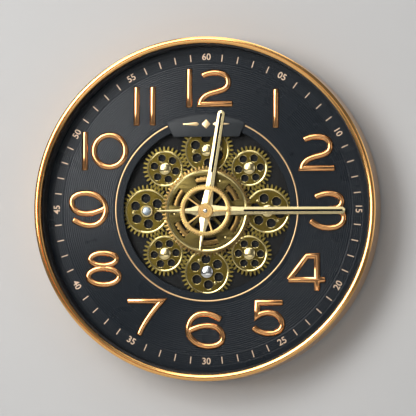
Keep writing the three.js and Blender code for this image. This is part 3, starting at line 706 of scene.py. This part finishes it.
collar_front = depths_of("drive_collar")[1]
collar_radius = 7.5
collar_mesh = turned_mesh("drive_collar", [
    (shaft_bore, cap_back), (collar_radius - 0.3, cap_back), (collar_radius, cap_back + 0.3),
    (collar_radius, collar_front - 0.9), (collar_radius - 0.9, collar_front),
    (shaft_bore + 0.4, collar_front), (shaft_bore, collar_front - 0.4),
], 56)
collar = set_in_clock("drive_collar_gold", collar_mesh, [dome_gold], gear_centres["left"])
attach(collar, "large_left")
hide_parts("drive_collar")

# Bearing of the central wheel: a flanged sleeve of turned steel that stands
# on the gear plate round the movement's barrel.
refinished("centre_bearing", turned_steel)
train_centre = centre_of("centre_bearing")


# Central wheel: a bronze drive gear at the back, a toothed ring with long
# slots, and a dark olive disc with windows in front. Three pins join them.
# The bronze of the gear and the ring is darkened with painted shade.
def window_between_spokes(inner, outer, middle, half_angle, half_width):
    """The opening between two straight-sided spokes."""
    outer_half = half_angle - math.degrees(math.asin(half_width / outer))
    inner_half = half_angle - math.degrees(math.asin(half_width / inner))
    return arc(outer, middle, outer_half, 14) + arc(inner, middle, -inner_half, 14)


def arc_window(inner, outer, middle, half_angle, steps):
    """A window between two arcs."""
    return arc(outer, middle, half_angle, steps) + arc(inner, middle, -half_angle, steps)


def fine_tooth_outline(teeth, root, tip, root_share, tip_share):
    """Short blunt teeth, closely set."""
    corners = ((root, -root_share), (tip, -tip_share), (tip, tip_share), (root, root_share))
    return [
        on_circle(radius, 360 / teeth * (tooth + share))
        for tooth in range(teeth) for radius, share in corners
    ]


# Bronze tone, darkened further as painted shade, for the drive gear and the toothed ring lie behind the disc.
bronze = turned_metal("bronze", (0.25, 0.155, 0.05), 0.28)
wheel_bore = 6.9
ring_inner = 34.8
spoke_half = 1.6
window_angles = (90, 180, 270, 360)
pin_angle = 65.5
pin_circle = 38.3
pin_radius = 1.3
pin_places = [on_circle(pin_circle, pin_angle + 120 * i) for i in range(3)]
pin_front = depths_of("centre_drive_gear")[1]
drive_hub_radius = 9.4
drive_teeth = 52
drive_pitch_radius = 42.2
drive_root = drive_pitch_radius - 2.3
drive_tip = drive_pitch_radius + 1.5
drive_windows = [
    window_between_spokes(drive_hub_radius + 1, ring_inner - 0.3, angle, 45, spoke_half)
    for angle in window_angles
]
drive_plate = stamped_mesh(
    "drive_gear", tooth_outline(drive_teeth, drive_root, drive_pitch_radius, drive_tip, 180 / drive_teeth),
    [ring_of_points(wheel_bore, 40), *drive_windows], gear_back, gear_front, 0.12, 1)
drive_hub = turned_mesh("drive_hub", [
    (wheel_bore, gear_back), (drive_hub_radius, gear_back), (drive_hub_radius, face_front - 0.3),
    (drive_hub_radius - 0.3, face_front), (wheel_bore, face_front),
], 48)
wheel_layers = [(drive_plate, 0), (drive_hub, 0)]
for pin_place in pin_places:
    pin = turned_mesh("pin", [
        (0, gear_front - 0.1), (pin_radius, gear_front - 0.1), (pin_radius, pin_front - 0.25),
        (pin_radius - 0.45, pin_front), (0, pin_front),
    ], 20)
    wheel_layers.append((shifted(pin, *pin_place), 1))
drive_gear = set_in_clock("drive_gear_bronze", one_piece("drive_gear", *wheel_layers), [bronze, rim_brass],
                          train_centre)
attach(drive_gear, "centre_wheel")
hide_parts("centre_drive_gear")

ring_root = 49.6
ring_tip = 53.4
slot_inner = 39.3
slot_outer = 43
slot_half_angle = 53
ring_slots = [
    arc_window(slot_inner, slot_outer, pin_angle + 60 + 120 * i, slot_half_angle, 30) for i in range(3)
]
pin_holes = [ring_of_points(pin_radius + 0.3, 20, pin_place) for pin_place in pin_places]
ring_mesh = stamped_mesh(
    "tooth_ring", fine_tooth_outline(72, ring_root, ring_tip, 0.34, 0.12),
    [ring_of_points(ring_inner, 96), *ring_slots, *pin_holes], *depths_of("centre_tooth_ring"), 0.15, 1)
tooth_ring = set_in_clock("tooth_ring_bronze", ring_mesh, [bronze], train_centre)
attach(tooth_ring, "centre_wheel")
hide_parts("centre_tooth_ring")

disc_back, disc_front = depths_of("centre_disc")
disc_radius = 48
window_inner = 10.2
window_outer = 24
disc_windows = [
    window_between_spokes(window_inner, window_outer, angle, 45, spoke_half) for angle in window_angles
]
arc_inner = 31.7
arc_outer = 41.6
arc_start = 35.5
arc_windows = [arc_window(arc_inner, arc_outer, arc_start + 60 * i, 15, 12) for i in range(6)]
disc_face = stamped_mesh("wheel_disc", ring_of_points(disc_radius - 0.3, 160),
                         [ring_of_points(wheel_bore, 40), *disc_windows, *arc_windows, *pin_holes],
                         disc_back, disc_front - 0.45, 0.3)
disc_rim = raised_rim("disc_rim", disc_radius - 2.6, disc_radius, disc_front - 0.42, disc_front, 160)
dark_olive = turned_metal("dark_olive_brass", (0.115, 0.085, 0.025), 0.34)
wheel_disc = set_in_clock("wheel_disc_olive", one_piece("wheel_disc", (disc_face, 0), (disc_rim, 1)),
                          [dark_olive, rim_brass], train_centre, crease=15)
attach(wheel_disc, "centre_wheel")
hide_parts("centre_disc")

# Nut: a hexagon of brass on the movement's threaded barrel. It pulls the
# movement against the back of the gear plate.
nut_corner = 8.5
nut_bore = 4.9
nut_mesh = stamped_mesh("barrel_nut", ring_of_points(nut_corner, 6), [ring_of_points(nut_bore, 40)],
                        *depths_of("movement_nut"), 0.3)
nut = set_in_clock("barrel_nut_brass", nut_mesh, [dome_gold], train_centre)
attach(nut, "case")
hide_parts("movement_nut")


# Dial: a sheet aluminium plate in charcoal lacquer. Fine slanted ring grooves
# are cut in the band of the numerals and fainter ones in the minute track,
# with a fine line on each side of the track.
def ring_grooves(start, end, count, depth):
    """Grooves side by side, each with a long gentle side that faces outward and a short steep one."""
    pitch = (end - start) / count
    points = []
    for groove in range(count):
        for across, down in ((0, 0), (0.3, 0.42), (0.6, 0.84), (0.8, 1), (0.9, 0.5)):
            points.append((start + pitch * (groove + across), dial_front - depth * down))
    points.append((end, dial_front))
    return points


def fine_line(start):
    """A fine line turned in the dial, with a narrow flat land on each side."""
    return [(start - 0.1, dial_front), (start, dial_front), (start + 0.3, dial_front - 0.12),
            (start + 0.6, dial_front), (start + 0.7, dial_front)]


dial_back = depths_of("dial_plate")[0]
dial_radius = radius_of("dial_plate")
opening_radius = 98.5
opening_edge = 0.45
groove_start = 111.5
groove_end = 171.5
track_start = groove_end + 0.2
track_end = 183.5
dial_mesh = turned_mesh("dial", [
    (opening_radius, dial_back),
    (opening_radius, dial_front - opening_edge),
    (opening_radius + opening_edge, dial_front),
    (groove_start - 0.1, dial_front),
    *ring_grooves(groove_start, groove_end, 25, 0.22),
    *fine_line(track_start),
    *ring_grooves(track_start + 0.8, track_end - 0.2, 5, 0.08),
    *fine_line(track_end),
    (dial_radius, dial_front),
    (dial_radius, dial_back),
], 256)
charcoal = dark_lacquer("charcoal_lacquer", (0.009, 0.013, 0.018), 0.28, 0.22)
dial = set_in_clock("dial", dial_mesh, [charcoal])
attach(dial, "case")
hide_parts("dial_plate")

# Minute track: short raised bars of copper foil, metallic with a grainy lay,
# at every minute but the fifth ones, where a small number stands instead.
tick_inner = 173.8
tick_outer = 181.9
tick_width = 1.15
tick_height = 0.22
tick_shape = bmesh.new()
for minute in range(60):
    if minute % 5 == 0:
        continue
    bar = bmesh.ops.create_cube(tick_shape, size=1)["verts"]
    bar_place = (0, (tick_inner + tick_outer) / 2, dial_front + tick_height / 2 - 0.02)
    bar_turn = Matrix.Rotation(-math.radians(6 * minute), 3, "Z")
    bmesh.ops.scale(tick_shape, vec=(tick_width, tick_outer - tick_inner, tick_height), verts=bar)
    bmesh.ops.translate(tick_shape, vec=bar_place, verts=bar)
    bmesh.ops.rotate(tick_shape, cent=(0, 0, 0), matrix=bar_turn, verts=bar)
upper_edges = [edge for edge in tick_shape.edges if min(v.co.z for v in edge.verts) > dial_front + 0.1]
bmesh.ops.bevel(tick_shape, geom=upper_edges, offset=0.09, segments=2, affect="EDGES")
copper_foil, ink = new_finish("copper_foil")
ink.inputs["Metallic"].default_value = 0.4
lay = noise_over(add_node(ink, "TexCoord"), "Object", 800, 2)
vary_colour(lay, "Fac", ink, (0.82, 0.6, 0.42), 0.85, 1.1)
vary_roughness(lay, ink, 0.32, 0.48)
minute_bars = set_in_clock("minute_bars", finished_mesh("minute_bars", tick_shape), [copper_foil])
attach(minute_bars, "case")

# Minute numbers: 05 to 60 in the same foil. Those in the lower half stand
# with their tops inward, so that all read from below.
number_size = 10.6
number_radius = 178.4
number_height = 0.18
number_shape = bmesh.new()
for minute in range(5, 65, 5):
    words = bpy.data.curves.new(f"minute_{minute:02d}", "FONT")
    words.body = f"{minute:02d}"
    words.size = number_size
    words.align_x = "CENTER"
    words.align_y = "CENTER"
    words.extrude = number_height / 2
    words.offset = 0.12
    number_mesh = settled_mesh(add_object(words.name, words))
    place = Matrix.Rotation(-math.radians(6 * minute), 4, "Z") @ Matrix.Translation(
        (0, number_radius, dial_front + 0.08))
    tops_inward = 15 < minute < 45
    if tops_inward:
        place = place @ Matrix.Rotation(math.pi, 4, "Z")
    number_mesh.transform(place)
    number_shape.from_mesh(number_mesh)
bmesh.ops.remove_doubles(number_shape, verts=number_shape.verts, dist=1e-4)
minute_numbers = set_in_clock("minute_numbers", finished_mesh("minute_numbers", number_shape), [copper_foil])
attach(minute_numbers, "case")


# Line round the opening: a thin rose gold wire of half-round section, broken
# at the top where the plaque sits.
def skinned_mesh(name, shape, rows, closed=False):
    """Joins rows of corners with faces, and closes the two ends where they don't meet."""
    for row, after in zip(rows, rows[1:] + rows[:1] if closed else rows[1:]):
        for i in range(len(row)):
            j = (i + 1) % len(row)
            shape.faces.new((row[i], row[j], after[j], after[i]))
    if not closed:
        shape.faces.new(rows[0])
        shape.faces.new(rows[-1])
    bmesh.ops.recalc_face_normals(shape, faces=shape.faces)
    return finished_mesh(name, shape)


trim_rise = depths_of("opening_trim")[1] - dial_front
trim_radius = 107.7
trim_half = 1
trim_gap = 25.2
trim_steps = 150
trim_shape = bmesh.new()
trim_rows = []
for step in range(trim_steps + 1):
    clockwise = math.radians(trim_gap + (360 - 2 * trim_gap) * step / trim_steps)
    trim_row = []
    for across, up in arc(1, 90, 90, 8):
        radius = trim_radius + across * trim_half
        trim_row.append(trim_shape.verts.new(
            (radius * math.sin(clockwise), radius * math.cos(clockwise), dial_front + up * trim_rise)))
    trim_rows.append(trim_row)
line_gold = polished_metal("line_gold", (1, 0.64, 0.33), 0.34)
opening_line = set_in_clock("opening_line", skinned_mesh("opening_line", trim_shape, trim_rows), [line_gold])
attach(opening_line, "case")
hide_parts("opening_trim")

# Plaque: a raised lacquered pad over the top of the opening, with its lower
# corners cut off. It carries a plain gold ornament, a lozenge between bars.
plaque_foot = corners_of("plaque")[0][1]
plaque_front = depths_of("plaque")[1]
plaque_half = 40.8
plaque_corner = 4.3
plaque_top_radius = opening_radius + 12.5
plaque_half_angle = 24.6
plaque_outline = [
    (-plaque_half, plaque_foot + plaque_corner), (-plaque_half + plaque_corner / 2, plaque_foot),
    (plaque_half - plaque_corner / 2, plaque_foot), (plaque_half, plaque_foot + plaque_corner),
    *arc(plaque_top_radius, 90, plaque_half_angle, 40),
]
plaque_mesh = stamped_mesh("plaque_pad", plaque_outline, [], dial_front, plaque_front, 0.35, 3)
plaque_lacquer = dark_lacquer("plaque_lacquer", (0.016, 0.02, 0.023), 0.42, 0.35)
plaque = set_in_clock("plaque_pad", plaque_mesh, [plaque_lacquer])
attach(plaque, "case")
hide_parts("plaque")

ornament_middle = 99.6
ornament_outlines = [[(0, 5.6), (-5.2, 0), (0, -5.6), (5.2, 0)]]
for side in (-1, 1):
    ornament_outlines.append([
        (side * 8, 0), (side * 11, 2.3), (side * 27.5, 0.45), (side * 27.5, -0.45), (side * 11, -2.3)])
ornament_layers = []
for outline in ornament_outlines:
    raised = moved(outline, 0, ornament_middle)
    ornament_part = stamped_mesh("ornament_part", raised, [], plaque_front - 0.02, plaque_front + 0.6, 0.2)
    ornament_layers.append((ornament_part, 0))
pale_gold = polished_metal("pale_gold", (0.95, 0.68, 0.36), 0.28)
ornament = set_in_clock("plaque_ornament", one_piece("plaque_ornament", *ornament_layers), [pale_gold])
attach(ornament, "case")


# Hour numerals: half-round bars of polished rose gold, bent to shape, with
# softly rounded ends. They are glued to the dial.
def bend(start, *steps):
    """An open centre line of straight runs, given by their ends, and bends, given by three points."""
    line = [Vector(start)]
    for step in steps:
        if len(step) == 2:
            line.append(Vector(step))
            continue
        first = line[-1]
        a, b, last = (Vector(step[i:i + 2]) for i in (0, 2, 4))
        for count in range(1, 17):
            t = count / 16
            s = 1 - t
            line.append(first * s ** 3 + a * 3 * s * s * t + b * 3 * s * t * t + last * t ** 3)
    return line, False


def oval(x, y, half_width, half_height):
    """A closed oval centre line."""
    turns = [2 * math.pi * step / 56 for step in range(56)]
    line = [Vector((x + half_width * math.cos(turn), y + half_height * math.sin(turn))) for turn in turns]
    return line, True


def half_round_bar(name, line, closed):
    """A half-round bar along a centre line, mitred at its corners and rounded at its ends."""
    rows = []
    for i, point in enumerate(line):
        before = line[i - 1] if closed or i > 0 else None
        after = line[(i + 1) % len(line)] if closed or i < len(line) - 1 else None
        arriving = (point - before).normalized() if before else (after - point).normalized()
        leaving = (after - point).normalized() if after else arriving
        along = (arriving + leaving).normalized()
        stretch = min(1 / max(along.dot(leaving), 0.1), 2.2)
        rows.append((point, Vector((along.y, -along.x)) * stretch, 1))
    if not closed:
        ends = []
        for tip, neighbour, across in (
            (line[0], line[1], rows[0][1]),
            (line[-1], line[-2], rows[-1][1]),
        ):
            inward = (neighbour - tip).normalized()
            ends.append([(tip + inward * share * bar_end, across, size) for share, size in end_sizes])
        rows = ends[0] + rows[1:-1] + ends[1][::-1]
    shape = bmesh.new()
    grid = []
    for point, across, size in rows:
        narrow = 0.5 + size / 2
        row = []
        for x, y in arc(1, 90, 90, 12):
            spot = point + across * (x * bar_half * narrow)
            row.append(shape.verts.new((spot.x, spot.y, dial_front + y * bar_height * size)))
        grid.append(row)
    return skinned_mesh(name, shape, grid, closed)


bar_half = 3.7
bar_height = 2.55
bar_end = 0.9
end_sizes = ((0, 0.55), (0.12, 0.78), (0.45, 0.93), (1, 1))
nine = [
    bend((-18.3, -12.4), (-9, -18.5, -2, -19.8, 4, -19.4), (15, -18.6, 20.8, -9, 20.8, -1),
         (20.8, 10, 10, 18.9, -3, 18.9), (-10, 18.9, -15, 17.4, -17.8, 14)),
    bend((-15, 16.2), (-18.5, 14.6, -20.2, 11.8, -20.2, 8), (-20.2, 0, -13, -5.4, -3, -5.4),
         (6, -5.4, 13, -2.7, 20.2, 1.2)),
]
digit_lines = {
    0: [oval(0, 0, 18.9, 18.9)],
    1: [bend((0, -22.6), (0, 23))],
    2: [bend((-15.2, 14.4), (-6, 20.4, 15.7, 20.6, 15.5, 6.5), (15.3, -1.6, 7, -3, -2, -5.2),
             (-11, -7.6, -16.6, -11.4, -17.6, -18.8), (20.8, -18.8))],
    3: [bend((-14, 16), (-5, 20.9, 6, 21.2, 12, 18), (18, 14.7, 18.4, 8.5, 14.5, 5),
             (11, 2.6, 8, 2, 2.5, 2)),
        bend((2.5, 1.2), (12, 1.2, 19.4, -1, 19.4, -8), (19.4, -17, 10, -19.9, 2, -19.9),
             (-8, -19.9, -14, -16.4, -19.6, -11))],
    4: [bend((14, -22), (14, 18.6), (2.4, 18.6), (-19.4, -9.1)),
        bend((-19.6, -9.1), (23.8, -9.1))],
    5: [bend((17.5, 18), (-12.6, 18), (-12.6, 2.4), (-8, 5.6, -3, 6.4, 1, 6.2),
             (10, 5.8, 16.4, 0, 16.4, -7.2), (16.4, -14.5, 10, -18, 1, -18),
             (-7, -18, -13, -15.4, -17.2, -10.8))],
    6: [([Vector((-p.x, -p.y)) for p in line], closed) for line, closed in nine],
    7: [bend((-22, 18.4), (18.6, 18.4), (7, 6, -4, -9, -8.5, -21.8))],
    8: [oval(0, 11.2, 15.6, 7.4), oval(0.4, -9.2, 18.4, 9.6)],
    9: nine,
}
rose_gold = polished_metal("rose_gold", (0.9, 0.44, 0.17), 0.13)
for node in sorted(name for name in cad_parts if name.startswith("numeral_")):
    hour, *which = node.split("_")[1:]
    digit = int(hour[-1] if which == ["second"] else hour[0])
    bars = [half_round_bar(node, line, closed) for line, closed in digit_lines[digit]]
    bar_mesh = combined(node, bars[0], bars[1:], "UNION") if len(bars) > 1 else bars[0]
    drawn_x = [v.co.x for v in bar_mesh.vertices]
    drawn_y = [v.co.y for v in bar_mesh.vertices]
    middle_x, middle_y = centre_of(node)
    centre = (middle_x - (min(drawn_x) + max(drawn_x)) / 2, middle_y - (min(drawn_y) + max(drawn_y)) / 2)
    numeral = set_in_clock(f"{node}_bars", bar_mesh, [rose_gold], centre, crease=50)
    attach(numeral, "case")
    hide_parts(node)


# Hands: stamped blades in pale gold whose front falls away in two facets
# from a ridge, with a black inlay down the middle and a pointed tail. Each
# is pressed on its own brass tube.
def hand_outline(length, tail, waist):
    """The blade from its tail's point round its rounded tip, pointing up."""
    right = [(0.5, -tail), (waist, -tail * 0.6), (waist + 1.7, -18), (hub_half - 0.5, -10), (hub_half, -4),
             (hub_half, 4), (hub_half - 0.5, 10), (neck_half + 0.9, 19), (neck_half, 41.7)]
    left = [(-x, y) for x, y in reversed(right)]
    return right + moved(arc(tip_half, 90, 90, 16), 0, length - tip_half) + left


def ridged_blade(name, outline, holes, back, front):
    """A stamped blade whose front falls away on both sides of its centre line."""
    shape = bmesh.new()
    shape.from_mesh(stamped_mesh(name, outline, holes, back, front, 0.14, 1))
    whole = [*shape.verts, *shape.edges, *shape.faces]
    bmesh.ops.bisect_plane(shape, geom=whole, plane_co=(0, 0, 0), plane_no=(1, 0, 0))
    for corner in shape.verts:
        if corner.co.z > (back + front) / 2:
            corner.co.z -= facet_fall * abs(corner.co.x)
    return finished_mesh(name, shape)


hub_half = 6.9
neck_half = 4.45
tip_half = 4.2
facet_fall = 0.1
inlay_half = 1.35
hand_gold = polished_metal("hand_gold", (1, 0.8, 0.42), 0.24)
inlay_black = dark_lacquer("inlay_black", (0.002, 0.002, 0.002), 0.6, 0.1)
for hand, tube_radius, length, inlay_start, tail, waist, clockwise in (
    ("hour", 2.9, 118.9, 45.7, 46.5, 2.4, 9),
    ("minute", 1.9, 163.3, 45, 58.2, 1.5, 90),
):
    hand_back, hand_front = depths_of(f"{hand}_hand")
    inlay_end = length - 3
    slot = [(-inlay_half, inlay_start), (inlay_half, inlay_start),
            (inlay_half, inlay_end), (-inlay_half, inlay_end)]
    blade_mesh = ridged_blade(f"{hand}_hand", hand_outline(length, tail, waist),
                              [ring_of_points(tube_radius + 0.3, 32), slot], hand_back, hand_front)
    inlay_mesh = block_mesh(f"{hand}_inlay", (-inlay_half - 0.1, inlay_start - 0.1, hand_back + 0.1),
                            (inlay_half + 0.1, inlay_end + 0.1, hand_front - 0.3), 0.05)
    blade = set_in_clock(f"{hand}_hand_blade", one_piece(f"{hand}_hand", (blade_mesh, 0), (inlay_mesh, 1)),
                         [hand_gold, inlay_black], train_centre, -math.radians(clockwise), crease=8)
    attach(blade, hand)
    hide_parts(f"{hand}_hand")
    tube_back, tube_front = depths_of(f"{hand}_tube")
    tube_bore = tube_radius - 0.7
    tube_mesh = turned_mesh(f"{hand}_tube", [
        (tube_bore, tube_back), (tube_radius, tube_back), (tube_radius, tube_front - 0.15),
        (tube_radius - 0.15, tube_front), (tube_bore, tube_front),
    ], 32)
    tube = set_in_clock(f"{hand}_tube_brass", tube_mesh, [dome_gold], train_centre)
    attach(tube, hand)
    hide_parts(f"{hand}_tube")

# Seconds wheel: a thin rose gold ring with fine teeth on five narrow spokes
# and a broad hub, held by a steel cap on the arbor in front of both hands.
wheel_back, wheel_front = depths_of("seconds_wheel")
rim_back = depths_of("minute_hand")[1] + 1
rim_inner = 24.8
rim_root = 28.5
rim_tip = 30.4
hub_radius = 8.8
arbor_hole = 1.1
spoke_root = 8.2
seconds_windows = [window_between_spokes(spoke_root, rim_inner, 36 + 72 * i, 36, 1) for i in range(5)]
seconds_rim = stamped_mesh("seconds_rim", fine_tooth_outline(72, rim_root, rim_tip, 0.28, 0.14),
                           [ring_of_points(arbor_hole, 24), *seconds_windows], rim_back, rim_back + 1, 0.2)
seconds_hub = turned_mesh("seconds_hub", [
    (arbor_hole, wheel_back), (hub_radius - 0.3, wheel_back), (hub_radius, wheel_back + 0.3),
    (hub_radius, wheel_front - 0.5), (hub_radius - 0.5, wheel_front), (5.4, wheel_front),
    (5.1, wheel_front - 0.25), (4.8, wheel_front), (arbor_hole, wheel_front),
], 64)
wheel_gold = turned_metal("wheel_gold", (1, 0.58, 0.21), 0.25)
seconds_mesh = one_piece("seconds_wheel", (seconds_rim, 0), (seconds_hub, 0))
seconds_wheel = set_in_clock("seconds_wheel_gold", seconds_mesh, [wheel_gold], train_centre)
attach(seconds_wheel, "seconds")
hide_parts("seconds_wheel")

arbor_back, arbor_front = depths_of("seconds_arbor")
arbor_radius = 0.8
arbor_cap_radius = 2.5
arbor_cap_back = wheel_front + 0.3
arbor_mesh = turned_mesh("seconds_arbor", [
    (0, arbor_back), (arbor_radius, arbor_back),
    (arbor_radius, arbor_cap_back), (arbor_cap_radius, arbor_cap_back),
    *[(arbor_cap_radius * x, arbor_front - 1 + y) for x, y in arc(1, 37.5, 37.5, 5)],
    (0, arbor_front),
], 40)
arbor = set_in_clock("seconds_arbor_steel", arbor_mesh, [bright_steel], train_centre)
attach(arbor, "seconds")
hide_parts("seconds_arbor")

# Spacer ring: a black moulded ring that holds the glass off the dial. Its
# inner wall shows all round between the bezel's lip and the dial.
spacer_back, spacer_front = depths_of("spacer_ring")
spacer_outer = radius_of("spacer_ring")
spacer_inner = spacer_outer - 6.4
spacer_mesh = turned_mesh("spacer_ring_black", [
    (spacer_outer, spacer_back), (spacer_outer, spacer_front), (spacer_inner + 0.4, spacer_front),
    (spacer_inner, spacer_front - 0.4), (spacer_inner, spacer_back + 1.4),
    (spacer_inner + 0.5, spacer_back + 0.9), (spacer_inner + 0.5, spacer_back),
], 256)
spacer = set_in_clock("spacer_ring_black", spacer_mesh, [black_plastic])
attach(spacer, "case")
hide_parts("spacer_ring")

# Glass: a flat clear disc with a ground edge, held between the spacer ring
# and the bezel's lip. It hardly shows but for a faint shine.
glass_back, glass_front = depths_of("glass")
glass_radius = radius_of("glass")
glass_mesh = turned_mesh("front_glass", [
    (0, glass_back), (glass_radius - 0.4, glass_back), (glass_radius, glass_back + 0.4),
    (glass_radius, glass_front - 0.4), (glass_radius - 0.4, glass_front), (0, glass_front),
])
clear_glass, pane = new_finish("clear_glass")
pane.inputs["Base Color"].default_value = (0.01, 0.012, 0.012, 1)
pane.inputs["IOR"].default_value = 1.5
pane.inputs["Alpha"].default_value = 0.03
smears = noise_over(add_node(pane, "TexCoord"), "Object", 9, 5)
vary_roughness(smears, pane, 0.02, 0.06)
glass = set_in_clock("front_glass", glass_mesh, [clear_glass])
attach(glass, "case")
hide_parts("glass")

# Bezel: a deep ring turned in aluminium and gold anodised. Its outer wall
# flares a little towards the wall. Its front is a softly rounded outer band
# and an inner band that slopes in to the lip, with a thin groove between.
bezel_back, bezel_front = depths_of("bezel")
bezel_foot = radius_of("bezel")
bezel_flare = 2.6
bezel_radius = bezel_foot - bezel_flare
bezel_bore = bezel_radius - 2.7
lip_radius = bezel_radius - 7.8
lip_back = bezel_front - 6.5
front_bands = [
    (0, 2.4), (0.08, 1.3), (0.3, 0.92), (0.45, 0.86), (1.1, 0.6), (1.9, 0.34), (2.7, 0.14), (3.3, 0.02),
    (3.5, 0.6), (3.6, 3.2), (4.3, 3.2), (4.4, 1.1),
    (4.5, 0.8), (4.8, 0.9), (5.6, 1.18), (6.5, 1.54), (7.2, 1.92), (7.55, 2.3), (7.75, 2.8), (7.8, 3.5),
]
bezel_mesh = turned_mesh("bezel_ring", [
    (bezel_bore, bezel_back + 0.3), (bezel_bore + 0.3, bezel_back),
    (bezel_foot - 0.5, bezel_back), (bezel_foot, bezel_back + 0.5),
    *[(bezel_radius - inward, bezel_front - down) for inward, down in front_bands],
    (lip_radius, lip_back + 0.3), (lip_radius + 0.3, lip_back), (bezel_bore, lip_back),
], 256)
gold_anodised = polished_metal("gold_anodised", (0.94, 0.52, 0.18), 0.16)
bezel = set_in_clock("bezel_ring", bezel_mesh, [gold_anodised])
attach(bezel, "case")
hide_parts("bezel")

# Rear door: a moulded black lid over the movement and the cells, let in
# flush with the back. It has a ribbed thumb patch at its foot.
door_outline = round_cornered(door_low, door_high, 1.2)
door_lid = stamped_mesh("rear_door", door_outline, [], *depths_of("rear_door"), 0.2)
patch_foot = door_low[1] + 10
groove_half = 11
thumb_grooves = [
    block_mesh("thumb_groove", (-groove_half, foot, -1), (groove_half, foot + 1.4, 0.5))
    for foot in (patch_foot + 3.2 * i for i in range(5))
]
door_plastic = moulded_plastic("door_plastic", (0.026, 0.026, 0.027), 0.45, 0.5)
door_mesh = combined("rear_door_lid", door_lid, thumb_grooves, "DIFFERENCE")
door = set_in_clock("rear_door_lid", door_mesh, [door_plastic])
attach(door, "case")
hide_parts("rear_door")
